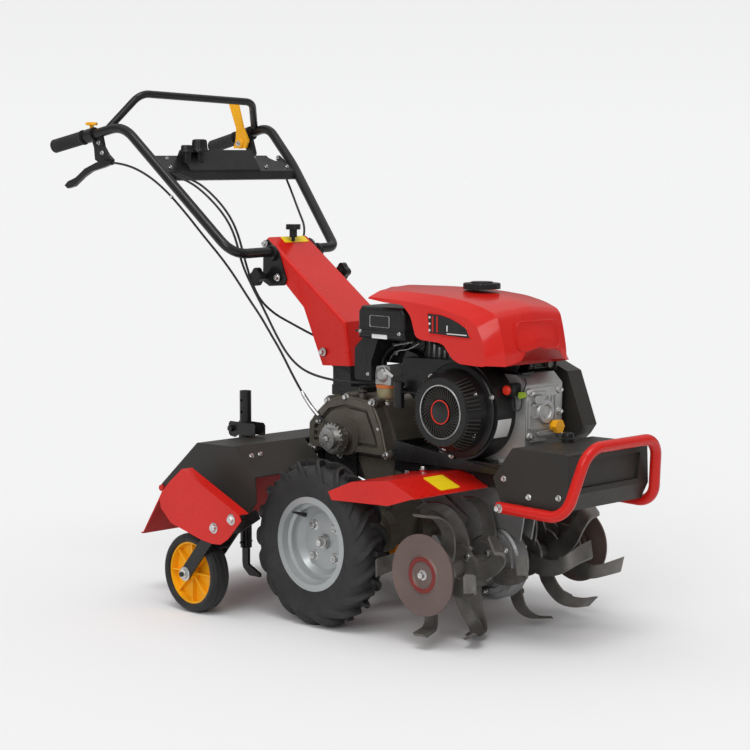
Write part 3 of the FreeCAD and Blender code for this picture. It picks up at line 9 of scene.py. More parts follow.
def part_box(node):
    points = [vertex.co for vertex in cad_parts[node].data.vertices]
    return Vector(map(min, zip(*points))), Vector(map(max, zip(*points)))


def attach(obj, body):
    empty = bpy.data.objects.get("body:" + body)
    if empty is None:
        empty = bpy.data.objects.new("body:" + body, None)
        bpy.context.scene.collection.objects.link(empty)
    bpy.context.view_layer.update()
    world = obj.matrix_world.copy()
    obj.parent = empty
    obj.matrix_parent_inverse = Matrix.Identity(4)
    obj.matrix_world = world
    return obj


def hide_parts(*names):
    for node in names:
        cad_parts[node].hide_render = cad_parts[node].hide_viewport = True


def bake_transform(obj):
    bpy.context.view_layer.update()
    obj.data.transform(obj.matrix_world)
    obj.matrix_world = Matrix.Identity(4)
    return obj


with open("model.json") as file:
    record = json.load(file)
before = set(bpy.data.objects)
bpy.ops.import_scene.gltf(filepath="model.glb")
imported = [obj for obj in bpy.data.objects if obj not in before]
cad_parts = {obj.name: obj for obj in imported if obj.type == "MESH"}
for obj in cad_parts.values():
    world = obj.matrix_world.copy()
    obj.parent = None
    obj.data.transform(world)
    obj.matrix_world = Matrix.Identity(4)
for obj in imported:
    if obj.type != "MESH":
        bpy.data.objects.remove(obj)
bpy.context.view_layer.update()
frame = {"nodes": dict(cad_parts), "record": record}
nodes = frame["nodes"]
scene = bpy.context.scene
print("frame loaded", len(nodes), "nodes")


# finishes: each is a Principled surface with colour drift, wear, roughness drift and bump

def addNode(tree, kind, inputs=(), **settings):
    node = tree.nodes.new("ShaderNode" + kind)
    for key, value in settings.items():
        setattr(node, key, value)
    for key, value in dict(inputs).items():
        if isinstance(value, bpy.types.NodeSocket):
            tree.links.new(value, node.inputs[key])
        else:
            node.inputs[key].default_value = value
    return node


def noise(tree, where, scale, detail, rough=0.55, stretch=None):
    # noise value at the object's own coordinates; stretch scales the axes before it is read
    if stretch:
        where = addNode(tree, "Mapping", {"Vector": where, "Scale": stretch}).outputs[0]
    values = {"Vector": where, "Scale": scale, "Detail": detail, "Roughness": rough}
    return addNode(tree, "TexNoise", values).outputs["Fac"]


def ramp(tree, value, low, high, start=0.0, end=1.0):
    # the value's run from low to high laid out from start to end, and held at both
    values = {"Value": value, "From Min": low, "From Max": high, "To Min": start, "To Max": end}
    return addNode(tree, "MapRange", values, clamp=True).outputs[0]


def blendColour(tree, factor, *colours):
    # from the first colour to the second as the factor goes from 0 to 1
    first, second = (c if isinstance(c, bpy.types.NodeSocket) else (*c, 1) for c in colours)
    return addNode(tree, "Mix", {0: factor, 6: first, 7: second}, data_type="RGBA").outputs[2]


def finish(name, colour, drift, metal, rough, grain, grainHeight, patch, coat=0.0, sheen=0.0,
           worn=None, wornAt=(0.62, 0.72), streak=None, speck=None, dust=None):
    # colour drifts over broad patches, worn shows in small spots, dust settles where the surface looks up
    made = bpy.data.materials.new(name)
    made.use_nodes = True
    tree = made.node_tree
    shader = tree.nodes["Principled BSDF"]
    where = addNode(tree, "TexCoord").outputs["Object"]
    broad = noise(tree, where, patch, 4.0)
    shade = blendColour(tree, ramp(tree, broad, 0.35, 0.68), colour, drift)
    fine = noise(tree, where, grain, 2.0, 0.6, streak)
    if speck:
        shade = blendColour(tree, ramp(tree, fine, 0.48, 0.72), shade, speck)
    roughness = ramp(tree, noise(tree, where, patch * 3.1, 5.0, 0.6, streak), 0.3, 0.7, rough[0], rough[1])
    if worn:
        spots = ramp(tree, noise(tree, where, patch * 5.0, 8.0, 0.72), wornAt[0], wornAt[1])
        shade = blendColour(tree, spots, shade, worn)
    if dust:
        facing = addNode(tree, "NewGeometry").outputs["Normal"]
        up = addNode(tree, "SeparateXYZ", {"Vector": facing}).outputs["Z"]
        shares = {0: ramp(tree, up, 0.2, 1.0, 0.0, dust[1]), 1: ramp(tree, broad, 0.3, 0.6)}
        settle = addNode(tree, "Math", shares, operation="MULTIPLY")
        shade = blendColour(tree, settle.outputs[0], shade, dust[0])
    tree.links.new(shade, shader.inputs["Base Color"])
    tree.links.new(roughness, shader.inputs["Roughness"])
    relief = {"Height": fine, "Strength": 0.6, "Distance": grainHeight * 0.001}
    bump = addNode(tree, "Bump", relief)
    tree.links.new(bump.outputs[0], shader.inputs["Normal"])
    plain = {"Metallic": metal, "Coat Weight": coat, "Coat Roughness": 0.08, "Sheen Weight": sheen,
             "Specular IOR Level": 0.28}
    for socket, value in plain.items():
        shader.inputs[socket].default_value = value
    return made


# colour, its drift, metal, roughness from and to, grain, its height in mm, patch, and what only some have
finishSetup = {
    "redPaint": ((0.59, 0.012, 0.007), (0.53, 0.010, 0.006), 0, (0.24, 0.34), 620, 0.04, 5, {"coat": 0.06}),
    "darkRedPaint": ((0.50, 0.011, 0.007), (0.42, 0.009, 0.006), 0, (0.36, 0.50), 500, 0.08, 9,
        {"coat": 0.03, "dust": ((0.36, 0.08, 0.06), 0.2)}),
    "redCover": ((0.60, 0.014, 0.009), (0.55, 0.012, 0.008), 0, (0.20, 0.28), 760, 0.03, 5, {"coat": 0.10}),
    "blackPaint": ((0.009, 0.009, 0.010), (0.014, 0.0138, 0.0135), 0, (0.20, 0.32), 700, 0.05, 18,
        {"coat": 0.04, "worn": (0.045, 0.043, 0.04), "wornAt": (0.70, 0.82)}),
    "charcoalSheet": ((0.023, 0.021, 0.0185), (0.028, 0.0255, 0.022), 0, (0.40, 0.50), 900, 0.08, 6,
        {"dust": ((0.09, 0.085, 0.078), 0.15), "speck": (0.031, 0.028, 0.025)}),
    "blackPlastic": ((0.009, 0.009, 0.0095), (0.014, 0.014, 0.014), 0, (0.26, 0.40), 1100, 0.05, 20,
        {"dust": ((0.025, 0.0245, 0.023), 0.15)}),
    "yellowPlastic": ((0.90, 0.43, 0.010), (0.85, 0.39, 0.008), 0, (0.34, 0.44), 800, 0.05, 16,
        {"speck": (0.83, 0.38, 0.010)}),
    "yellowLabel": ((0.86, 0.62, 0.012), (0.80, 0.57, 0.012), 0, (0.3, 0.4), 900, 0.02, 30, {}),
    "whitePrint": ((0.72, 0.72, 0.71), (0.64, 0.64, 0.63), 0, (0.35, 0.45), 900, 0.02, 30, {}),
    "tyreRubber": ((0.022, 0.022, 0.0225), (0.032, 0.0315, 0.031), 0, (0.50, 0.66), 420, 0.2, 22,
        {"dust": ((0.04, 0.037, 0.034), 0.25), "worn": (0.03, 0.029, 0.027)}),
    "softRubber": ((0.013, 0.013, 0.0135), (0.02, 0.02, 0.02), 0, (0.52, 0.66), 900, 0.15, 30,
        {"sheen": 0.1}),
    "silverRim": ((0.38, 0.40, 0.405), (0.33, 0.345, 0.35), 0.35, (0.28, 0.38), 1500, 0.05, 8,
        {"speck": (0.44, 0.46, 0.465)}),
    "steel": ((0.50, 0.50, 0.49), (0.36, 0.355, 0.34), 1.0, (0.24, 0.42), 900, 0.05, 60,
        {"worn": (0.24, 0.21, 0.18), "wornAt": (0.66, 0.8)}),
    "zinc": ((0.66, 0.66, 0.65), (0.50, 0.50, 0.49), 0.9, (0.20, 0.36), 1400, 0.04, 90, {}),
    "darkSteel": ((0.21, 0.20, 0.186), (0.125, 0.118, 0.108), 0.7, (0.36, 0.54), 260, 0.12, 16,
        {"worn": (0.30, 0.28, 0.25), "wornAt": (0.62, 0.78), "streak": (1, 4, 1)}),
    "discSteel": ((0.165, 0.118, 0.105), (0.125, 0.086, 0.077), 0.35, (0.42, 0.55), 520, 0.06, 10,
        {"speck": (0.18, 0.14, 0.13)}),
    "discRed": ((0.21, 0.030, 0.026), (0.15, 0.024, 0.022), 0.2, (0.34, 0.46), 520, 0.05, 14, {}),
    "bronzeCasting": ((0.125, 0.112, 0.090), (0.094, 0.084, 0.067), 0.45, (0.38, 0.52), 380, 0.3, 14,
        {"speck": (0.155, 0.14, 0.115), "dust": ((0.16, 0.145, 0.12), 0.15)}),
    "greyCasting": ((0.26, 0.262, 0.262), (0.20, 0.20, 0.198), 0.55, (0.34, 0.50), 420, 0.25, 16,
        {"speck": (0.33, 0.33, 0.325)}),
    "aluminium": ((0.44, 0.445, 0.44), (0.35, 0.35, 0.345), 0.7, (0.38, 0.52), 460, 0.3, 22,
        {"speck": (0.44, 0.44, 0.435)}),
    "oliveBowl": ((0.30, 0.27, 0.16), (0.24, 0.21, 0.12), 0.5, (0.3, 0.42), 600, 0.08, 30, {}),
    "orangeSeal": ((0.62, 0.16, 0.03), (0.52, 0.12, 0.02), 0, (0.4, 0.5), 600, 0.05, 30, {}),
    "brightRed": ((0.72, 0.035, 0.015), (0.64, 0.028, 0.012), 0, (0.28, 0.38), 800, 0.03, 30, {}),
    "greenPlastic": ((0.28, 0.40, 0.03), (0.22, 0.32, 0.025), 0, (0.35, 0.45), 800, 0.04, 30, {}),
}
finishes = {name: finish(name, *values, **extras) for name, (*values, extras) in finishSetup.items()}


def camelName(slotName):
    first, *rest = slotName.split("_")
    return first + "".join(word.capitalize() for word in rest)


# each slot of the record has a finish of its own name, but for the two rubbers
slotFinish = {row["slot"]: camelName(row["slot"]) for row in frame["record"]["materials"]}
slotFinish.update(tyre="tyreRubber", rubber="softRubber")
# the slot that stands for each finish, and the slots given to finishes that have none of their own
finishSlot = {finishName: slotName for slotName, finishName in slotFinish.items()}
finishSlot.update(brightRed="red_paint", discRed="red_paint", yellowLabel="yellow_plastic", zinc="steel",
                  whitePrint="black_plastic", greenPlastic="black_plastic", oliveBowl="aluminium",
                  orangeSeal="aluminium")


# mesh helpers: a shape is a pair, its points as one array and its faces as a list

joints = {joint["name"]: joint for joint in frame["record"]["behaviour"]["joints"]}
axle = Vector(joints["main_wheel_left_spin"]["pos_m"])
sides = (("right", -1), ("left", 1))


def at(ahead, side, up):
    # millimetres ahead of, beside and above the main axle, as points in the frame; each may be an array
    ahead, side, up = (np.asarray(value) / 1000 for value in (ahead, side, up))
    return np.stack(np.broadcast_arrays(axle.x + ahead, side, axle.z + up), axis=-1)


def fullTurn(steps):
    return np.linspace(0, 2 * np.pi, steps, endpoint=False)


def gridShape(points, wrapRows=False, wrapColumns=True, capped=True):
    # a rows x columns grid of points joined by quads, closed on itself where told; open ends get a flat cap
    rows, columns = points.shape[:2]
    row = np.arange(rows if wrapRows else rows - 1)[:, None]
    column = np.arange(columns if wrapColumns else columns - 1)[None, :]
    nextRow = (row + 1) % rows
    nextColumn = (column + 1) % columns
    quads = np.stack([row * columns + column, row * columns + nextColumn,
                      nextRow * columns + nextColumn, nextRow * columns + column], axis=-1)
    faces = quads.reshape(-1, 4).tolist()
    if capped and wrapColumns and not wrapRows:
        faces.append(list(range(columns)))
        faces.append(list(range((rows - 1) * columns, rows * columns))[::-1])
    return points.reshape(-1, 3), faces


def joined(shapes):
    points = []
    faces = []
    start = 0
    for shapePoints, shapeFaces in shapes:
        points.append(shapePoints)
        faces.extend([[i + start for i in face] for face in shapeFaces])
        start += len(shapePoints)
    return np.concatenate(points), faces


def axisFrame(direction):
    # three unit rows: two across the direction, then the direction itself
    aim = np.asarray(direction, float) / np.linalg.norm(direction)
    helper = np.array((0.0, 0.0, 1.0)) if abs(aim[2]) < 0.9 else np.array((1.0, 0.0, 0.0))
    across = np.cross(helper, aim)
    across /= np.linalg.norm(across)
    return np.stack([across, np.cross(aim, across), aim])


def moved(shape, place, direction=(0, 0, 1), turn=0.0):
    # the shape turned about its own z, laid along the direction and carried to the place
    points, faces = shape
    c, s = math.cos(turn), math.sin(turn)
    spun = points @ np.array(((c, s, 0), (-s, c, 0), (0, 0, 1)))
    return spun @ axisFrame(direction) + np.asarray(place), faces


def turnedShape(profile, steps, closed=False):
    # (radius, height) pairs in millimetres carried round the z axis: x = r cos a, y = r sin a
    profile = np.asarray(profile, float) / 1000
    angle = fullTurn(steps)
    ring = np.stack([np.cos(angle), np.sin(angle)], axis=-1)
    heights = np.repeat(profile[:, None, 1:], steps, axis=1)
    return gridShape(np.concatenate([profile[:, None, :1] * ring[None], heights], axis=-1), wrapRows=closed)


def slabShape(outline, low, high):
    # a flat outline in millimetres carried from low to high along z
    outline = np.asarray(outline, float) / 1000
    heights = np.array((low, high)) / 1000
    points = np.stack([np.column_stack([outline, np.full(len(outline), height)]) for height in heights])
    return gridShape(points)


def roundedBox(length, width, corner, x=0, y=0, steps=6):
    # a rectangle's outline about (x, y) with quarter circles at its corners
    angle = np.concatenate([np.linspace(q, q + 1, steps) * np.pi / 2 for q in range(4)])
    quarter = np.repeat(((1, 1), (-1, 1), (-1, -1), (1, -1)), steps, axis=0)
    middle = quarter * (length / 2 - corner, width / 2 - corner)
    return middle + corner * np.stack([np.cos(angle), np.sin(angle)], axis=-1) + (x, y)


def rectangle(u, v, wide, tall):
    return [(u, v), (u + wide, v), (u + wide, v + tall), (u, v + tall)]


def tubeShape(path, radius, steps):
    # circles of one radius, or of a radius per point, set square to a path of points in metres
    path = np.asarray(path, float)
    along = np.gradient(path, axis=0)
    along /= np.linalg.norm(along, axis=1, keepdims=True)
    across = np.cross(along, (0.31, 0.93, 0.19))
    across /= np.linalg.norm(across, axis=1, keepdims=True)
    over = np.cross(along, across)
    angle = fullTurn(steps)[None, :, None]
    size = np.broadcast_to(np.asarray(radius, float) / 1000, len(path))[:, None, None]
    circle = np.cos(angle) * across[:, None] + np.sin(angle) * over[:, None]
    return gridShape(path[:, None] + size * circle)


def smoothPath(points, order=3, steps=12):
    # points along the NURBS line that takes the given points as its control points
    data = bpy.data.curves.new("path", "CURVE")
    data.dimensions = "3D"
    data.resolution_u = steps
    spline = data.splines.new("NURBS")
    spline.points.add(len(points) - 1)
    spline.points.foreach_set("co", np.column_stack([points, np.ones(len(points))]).ravel())
    spline.order_u = order
    spline.use_endpoint_u = True
    holder = bpy.data.objects.new("path", data)
    line = bpy.data.meshes.new_from_object(holder)
    found = np.empty(len(line.vertices) * 3)
    line.vertices.foreach_get("co", found)
    bpy.data.meshes.remove(line)
    bpy.data.objects.remove(holder)
    bpy.data.curves.remove(data)
    return found.reshape(-1, 3)


def routed(points, steps=12):
    # the smooth line led by points of (ahead, side, up) in millimetres
    return smoothPath(at(*np.array(points).T), steps=steps)


def sideLine(outline, side):
    # corners of (ahead, up) as points at one distance to the side
    outline = np.asarray(outline, float)
    return at(outline[:, 0], side, outline[:, 1])


def looped(outline):
    return np.concatenate([outline, outline[:1]])


def around(ahead, side, up, radius, degrees):
    # spots of (ahead, side, up) on a circle about a line that runs sideways
    return [(ahead + radius * math.cos(t), side, up + radius * math.sin(t)) for t in np.radians(degrees)]


def make(name, shape, finishName, body="chassis", replaces=(), bevel=0.0, crease=32):
    # a shape or a list of them as one object: sharp where it bends more than crease, edges eased by bevel
    points, faces = joined(shape) if isinstance(shape, list) else shape
    mesh = bpy.data.meshes.new(name)
    mesh.from_pydata(points.tolist(), [], faces)
    work = bmesh.new()
    work.from_mesh(mesh)
    bmesh.ops.recalc_face_normals(work, faces=work.faces)
    work.to_mesh(mesh)
    work.free()
    mesh.shade_smooth()
    mesh.set_sharp_from_angle(angle=math.radians(crease))
    mesh.materials.append(finishes[finishName])
    piece = bpy.data.objects.new(name, mesh)
    scene.collection.objects.link(piece)
    if bevel:
        ease = piece.modifiers.new("ease", "BEVEL")
        ease.width = bevel / 1000
        ease.segments = 2
        ease.limit_method = "ANGLE"
        ease.angle_limit = math.radians(crease)
        ease.harden_normals = True
    if body:
        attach(piece, body)
    if replaces:
        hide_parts(*replaces)
    return piece


def boltShape(size, height=None):
    # a hexagon head with a domed top on a round washer, its foot at the origin
    height = height or size * 0.55
    angle = np.radians(np.arange(0, 360, 60))
    hexagon = size / 2 * np.stack([np.cos(angle), np.sin(angle)], axis=-1)
    layers = [(1.0, 0.0), (1.0, height * 0.8), (0.90, height), (0.45, height * 1.04)]
    points = np.stack([np.column_stack([hexagon * k, np.full(6, z)]) for k, z in layers]) / 1000
    head = moved(gridShape(points), (0, 0, 0.0012))
    wide, foot = size * 0.72, size * 0.3
    washer = [(wide, -0.6), (wide, 0.9), (size * 0.66, 1.3), (foot, 1.3), (foot, -0.6)]
    return joined([head, turnedShape(washer, 20, True)])


def bolts(name, spots, size, direction=(0, -1, 0), body="chassis", finishName="zinc", height=None):
    # one bolt at each spot of (ahead, side, up), all facing one way, each turned a little differently
    shapes = [moved(boltShape(size, height), at(*spot), direction, 0.7 * i) for i, spot in enumerate(spots)]
    make(name, shapes, finishName, body, crease=28)


def pairedBolts(name, spots, size, direction=(0, 1, 0), body="chassis", **more):
    # the left side's bolts and their mirror images; a body that ends in _ takes the side's name
    for hand, side in sides:
        mirrored = [(ahead, side * across, up) for ahead, across, up in spots]
        aim = (direction[0], side * direction[1], direction[2])
        bolts(name + "_" + hand, mirrored, size, aim, body + hand if body.endswith("_") else body, **more)


def plate(outline, low, high, facing="side"):
    # a flat outline in millimetres from the axle, carried from low to high, sideways or ahead
    u, v = np.asarray(outline, float).T
    layers = [at(u, level, v) if facing == "side" else at(level, u, v) for level in (low, high)]
    return gridShape(np.stack(layers))


# carried-over CAD pieces take the finish of their slot
for name, node in nodes.items():
    slotName = node.data.materials[0].name if node.data.materials else ""
    node.data.materials.clear()
    node.data.materials.append(finishes[slotFinish.get(slotName.split(".")[0], "blackPaint")])
nodes["side_discs"].data.materials[0] = finishes["discSteel"]

# main tyres: carcass and lugs follow one outline, half width times cosine and crown times sine, flattened
tyreSetup = {
    "crown": 188.0, "lugCrown": 202.0, "bead": 103.5, "half": 48.5, "lugHalf": 50.0, "steps": 144,
    "lugs": 18, "lugSweep": 19.0, "lugFoot": 19.0, "lugTop": 13.0, "valveReach": 0.080, "valveTurn": 2.25,
}


def tyreOutline(angle, crown, half, bead):
    # offset across the tyre and radius at an angle that runs from one bead over the crown to the other
    c, s = np.cos(angle), np.sin(angle)
    pinch = 0.66 + 0.34 * np.clip(s * 1.9, 0, 1) ** 0.7
    across = half * np.sign(c) * np.abs(c) ** 0.58 * pinch
    return across, bead + (crown - bead) * np.abs(s) ** 0.62


def carcass(setup):
    # the outline closed across its two beads, three thin rings raised on each wall, turned round the axle
    angle = np.linspace(0.02, np.pi - 0.02, 72)
    across, radius = tyreOutline(angle, setup["crown"], setup["half"], setup["bead"])
    ridge = sum(height * np.exp(-((radius - place) / width) ** 2)
                for place, width, height in ((121, 1.1, 1.0), (127, 1.0, 0.7), (170, 1.6, 1.3)))
    across = across + np.sign(np.cos(angle)) * ridge
    return turnedShape(np.column_stack([radius, across]), setup["steps"], True)


def lugRow(setup, side, offset):
    # each lug runs from the crown's middle over the shoulder, swept back, in section a flat-topped wedge
    along = np.linspace(0, 1, 10)[None, :, None]
    across = np.array((-1.0, -0.78, 0.78, 1.0, 0.86, -0.86))
    lift = np.array((0.0, 1.0, 1.0, 0.0, -0.25, -0.25))[None, None, :]
    angle = np.pi / 2 - side * (-0.05 + 1.20 * along ** 1.15)
    topAcross, topRadius = tyreOutline(angle, setup["lugCrown"], setup["lugHalf"], setup["bead"])
    footAcross, footRadius = tyreOutline(angle, setup["crown"], setup["half"], setup["bead"])
    fade = 1 - 0.45 * np.clip((along - 0.82) / 0.18, 0, 1)
    y = footAcross + (topAcross - footAcross) * lift * fade
    radius = footRadius + (topRadius - footRadius) * lift * fade
    first = np.radians(np.arange(setup["lugs"]) * 360 / setup["lugs"] + offset)[:, None, None]
    taper = setup["lugTop"] - setup["lugFoot"]
    width = (setup["lugFoot"] + taper * np.clip(lift, 0, 1)) * (0.85 + 0.35 * along)
    turn = first + np.radians(setup["lugSweep"]) * along ** 1.3 + across * width / 2 / radius
    points = np.stack(np.broadcast_arrays(radius * np.cos(turn), radius * np.sin(turn), y), axis=-1) / 1000
    return joined([gridShape(lug) for lug in points])


for name, hand in sides[::-1]:
    low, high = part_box("wheel_rim_" + name)
    middle = Vector((axle.x, (low.y + high.y) / 2, axle.z))
    halfPitch = 180 / tyreSetup["lugs"]
    tyre = joined([carcass(tyreSetup), lugRow(tyreSetup, 1, 0), lugRow(tyreSetup, -1, halfPitch)])
    make("tyre_tread_" + name, moved(tyre, middle, (0, 1, 0)), "tyreRubber", body="wheel_" + name,
         replaces=("tyre_" + name,), crease=38)
    valve = turnedShape([(5.5, -4), (5.5, 4), (4.0, 10), (3.6, 24), (2.6, 25), (2.6, 34), (1.6, 35)], 20)
    reach, turn = tyreSetup["valveReach"], tyreSetup["valveTurn"]
    spot = middle + Vector((reach * math.cos(turn), hand * 0.006, reach * math.sin(turn)))
    make("valve_" + name, moved(valve, spot, (-0.25, hand, 0.3)), "softRubber", body="wheel_" + name)
print("tyres made")

# small wheels: a solid tyre, its section turned round the axle; grooves lie each side of its middle
smallSetup = {
    "outer": 99.0, "inner": 77.6, "half": 27.0, "drop": 9.0, "grooves": ((0.34, 2.2), (0.8, 1.54)),
    "grooveWidth": 0.05,
}
for name, hand in sides[::-1]:
    low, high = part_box("small_hub_" + name)
    middle = (low + high) / 2
    half, outer, inner = smallSetup["half"], smallSetup["outer"], smallSetup["inner"]
    spread = np.linspace(-1, 1, 61)
    crown = outer - smallSetup["drop"] * np.abs(spread) ** 5
    for place, depth in smallSetup["grooves"]:
        crown -= depth * np.exp(-((np.abs(spread) - place) / smallSetup["grooveWidth"]) ** 2)
    wall = [(inner + 6, half), (inner + 1, half - 3), (inner, half - 6)]
    section = [(r, -y) for r, y in wall[::-1]] + list(zip(crown, spread * half)) + wall
    make("small_tread_" + name, moved(turnedShape(section, 96, True), middle, (0, 1, 0)), "softRubber",
         body="rear_wheel_" + name, replaces=("small_tyre_" + name,), crease=50)
print("small wheels made")

# engine cover: rails run from the rear to the front edge; the skin is straight between them, folded at each
coverSetup = {"span": 60, "across": 7, "crown": 5.0, "arch": 19.0}
coverRails = {
    "nearEdge": [(80, -189, 590), (140, -190, 583), (198, -190, 581), (224, -190, 556), (242, -190, 503),
        (326, -190, 499), (356, -190, 465), (378, -190, 455), (430, -189, 453), (448, -188, 453)],
    "nearFold": [(82, -188, 594), (151, -190, 592), (219, -190, 589), (285, -190, 583), (355, -190, 571),
        (404, -190, 559), (430, -190, 545), (446, -189, 517), (455, -188, 478), (456, -187, 454)],
    "nearTop": [(90, -160, 608), (179, -163, 611), (282, -164, 607), (362, -164, 600), (420, -165, 588),
        (459, -164, 574), (471, -163, 563), (479, -162, 536), (489, -158, 486), (490, -156, 452)],
    "middle": [(76, -48, 611), (179, -48, 613), (282, -48, 611), (362, -46, 605), (425, -44, 594),
        (464, -42, 580), (476, -42, 568), (483, -42, 540), (492, -42, 505), (492, -42, 472)],
    "farTop": [(80, 66, 607), (179, 66, 610), (282, 66, 607), (362, 66, 600), (420, 64, 588),
        (457, 62, 575), (470, 60, 563), (478, 60, 536), (487, 62, 486), (489, 62, 452)],
    "farFold": [(82, 92, 594), (151, 93, 592), (219, 93, 589), (285, 93, 583), (355, 93, 571),
        (404, 92, 559), (430, 90, 545), (446, 88, 517), (462, 84, 478), (482, 80, 452)],
    "farEdge": [(80, 93, 590), (140, 94, 583), (198, 94, 578), (224, 94, 560), (242, 94, 530),
        (326, 94, 520), (356, 94, 500), (378, 94, 480), (430, 90, 458), (474, 84, 452)],
}


def railPoints(rail, count):
    # the rail's corners joined by a line read at even steps of corner number, its bends slightly rounded
    rail = np.asarray(rail, float)
    corner = np.arange(len(rail))
    where = np.linspace(0, len(rail) - 1, count)
    read = [np.column_stack([np.interp(where + shift, corner, rail[:, k]) for k in range(3)])
            for shift in (-0.18, 0, 0.18)]
    return sum(read) / 3


def coverShape(setup):
    # rows go from the rear to the front edge, columns from the near edge over the top and back underneath;
    # the top is crowned by a parabola across, and the front edge is lifted to an arch by a smoothed box
    rails = np.stack([railPoints(rail, setup["span"]) for rail in coverRails.values()], axis=1)
    share = np.linspace(0, 1, setup["across"], endpoint=False)[None, None, :, None]
    skin = (rails[:, :-1, None] * (1 - share) + rails[:, 1:, None] * share).reshape(setup["span"], -1, 3)
    skin = np.concatenate([skin, rails[:, -1:]], axis=1)
    row = np.linspace(0, 9, setup["span"])[:, None]
    reachFront = np.clip((row - 6.2) / 2.8, 0, 1)
    y = skin[..., 1]
    inside = np.clip(1 - ((y + 49) / 112) ** 2, 0, 1)
    skin[..., 2] += setup["crown"] * inside * (1 - reachFront)
    skin[..., 0] += setup["crown"] * inside * reachFront
    arch = 1 / (1 + np.exp(-(y + 101) / 3)) / (1 + np.exp((y - 42) / 3))
    skin[..., 2] += setup["arch"] * arch * reachFront ** 3
    near, far = skin[:, 0], skin[:, -1]
    under = [far + (0, -4, 2), far * 0.62 + near * 0.38 + (-2, 0, 24),
             far * 0.3 + near * 0.7 + (-2, 0, 24), near + (0, 4, 2)]
    skin = np.concatenate([skin, np.stack(under, axis=1)], axis=1)
    return gridShape(at(skin[..., 0], skin[..., 1], skin[..., 2]))


make("engine_cover", coverShape(coverSetup), "redCover", replaces=("fuel_tank",), bevel=3.0, crease=22)

# window in the cover's near side: a black plate in a low rim, two bars and plain marks
windowSetup = {
    "face": -190.6, "bars": (297, 311), "marks": (527, 542, 557),
    "outline": [(279, 567), (325, 565), (352, 559), (378, 550), (402, 538), (415, 514), (350, 516),
        (285, 519)],
}
window = plate(windowSetup["outline"], windowSetup["face"] - 0.6, -186)
make("cover_window", window, "blackPlastic", bevel=0.8)
rim = smoothPath(sideLine(looped(windowSetup["outline"]), windowSetup["face"]), 2)
make("cover_window_rim", tubeShape(rim, 1.7, 8), "redCover")
bars = [plate(roundedBox(4.5, 38, 2, bar, 542), -192.3, -188) for bar in windowSetup["bars"]]
make("cover_window_bars", bars, "darkRedPaint", bevel=0.5)
marks = [roundedBox(5, 5, 1, 287, up) for up in windowSetup["marks"]]
marks += [roundedBox(62, 2.2, 0.8, 372, 522), roundedBox(3, 14, 0.8, 342, 534)]
make("cover_window_marks", [plate(mark, -191.8, -190) for mark in marks], "whitePrint")
# raised outline of the bare badge panel on the front
badge = looped(roundedBox(148, 66, 16, -44, 520, 8))
frontLine = np.interp(badge[:, 1], (452, 486, 540), (495.5, 495, 486.5))
make("cover_badge_rim", tubeShape(at(frontLine, badge[:, 0], badge[:, 1]), 1.1, 8), "redCover")
print("engine cover made")

# held control cables: each is one line from its lever or dial to what it works
cableSetup = {"radius": 3.0, "tiltFrom": (-0.13, 0, 0.80), "tiltTo": (-0.42, 0, 1.02)}
cableRoutes = {
    "brake": [(-783.4, -268, 906), (-738, -262, 903), (-670, -250, 879), (-605, -238, 838),
        (-541, -225, 780), (-486, -209, 719), (-437, -194, 667), (-402, -180, 620), (-367, -164, 564),
        (-335, -152, 520), (-307, -144, 477), (-277, -136, 433), (-250, -128, 384), (-224, -118, 338),
        (-190, -104, 285), (-146, -97.4, 253)],
    "throttle": [(-603.2, -214, 877), (-538, -210, 859), (-480, -200, 822), (-430, -188, 774),
        (-403, -178, 724), (-388, -168, 650), (-368, -150, 592), (-337, -136, 532), (-307, -128, 477),
        (-270, -122, 426), (-225, -117, 393), (-168, -112, 377), (-76, -108, 370), (0, -101, 374.5),
        (34, -98, 379.6)],
    "stop": [(-603.2, -200, 877), (-540, -196, 864), (-484, -186, 830), (-438, -173, 784),
        (-411, -162, 733), (-399, -144, 648), (-394, -130, 604), (-391, -104, 556), (-378, -66, 520),
        (-350, -34, 496), (-300, -12, 470), (-205.4, -4, 440)],
    "clutch": [(-798.8, 246, 920.2), (-744, 250, 903), (-684, 247, 887), (-628, 226, 833),
        (-549, 182, 775), (-470, 132, 734), (-444, 92, 688), (-430, 54, 650), (-390, 36, 606),
        (-340, 30, 560), (-250, 24, 470), (-226, 20, 380), (-214, 16, 275)],
}
cablePaths = {name: routed(route) for name, route in cableRoutes.items()}
cableTubes = [tubeShape(path, cableSetup["radius"], 10) for path in cablePaths.values()]
cables = make("control_cables", cableTubes, "softRubber", body=None,
              replaces=("cables_upper", "cables_lower"), crease=60)
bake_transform(cables)
print("control cables made")


def bladeRing(ahead, up, outline, angles, half, slant=0.0):
    # corners of (radius, side) set at each angle about an axle, 2 * half thick, leaning outward by slant
    radius, side = np.asarray(outline, float).T
    shapes = []
    for angle in angles:
        turn = angle + slant * (radius - radius.min())
        c, s = np.cos(turn), np.sin(turn)
        layers = [at(ahead + radius * c - t * s, side, up + radius * s + t * c) for t in (-half, half)]
        shapes.append(gridShape(np.stack(layers)))
    return joined(shapes)


def turned(profile, place, direction=(0, 0, 1), steps=48, closed=False):
    return moved(turnedShape(profile, steps, closed), at(*place), direction)


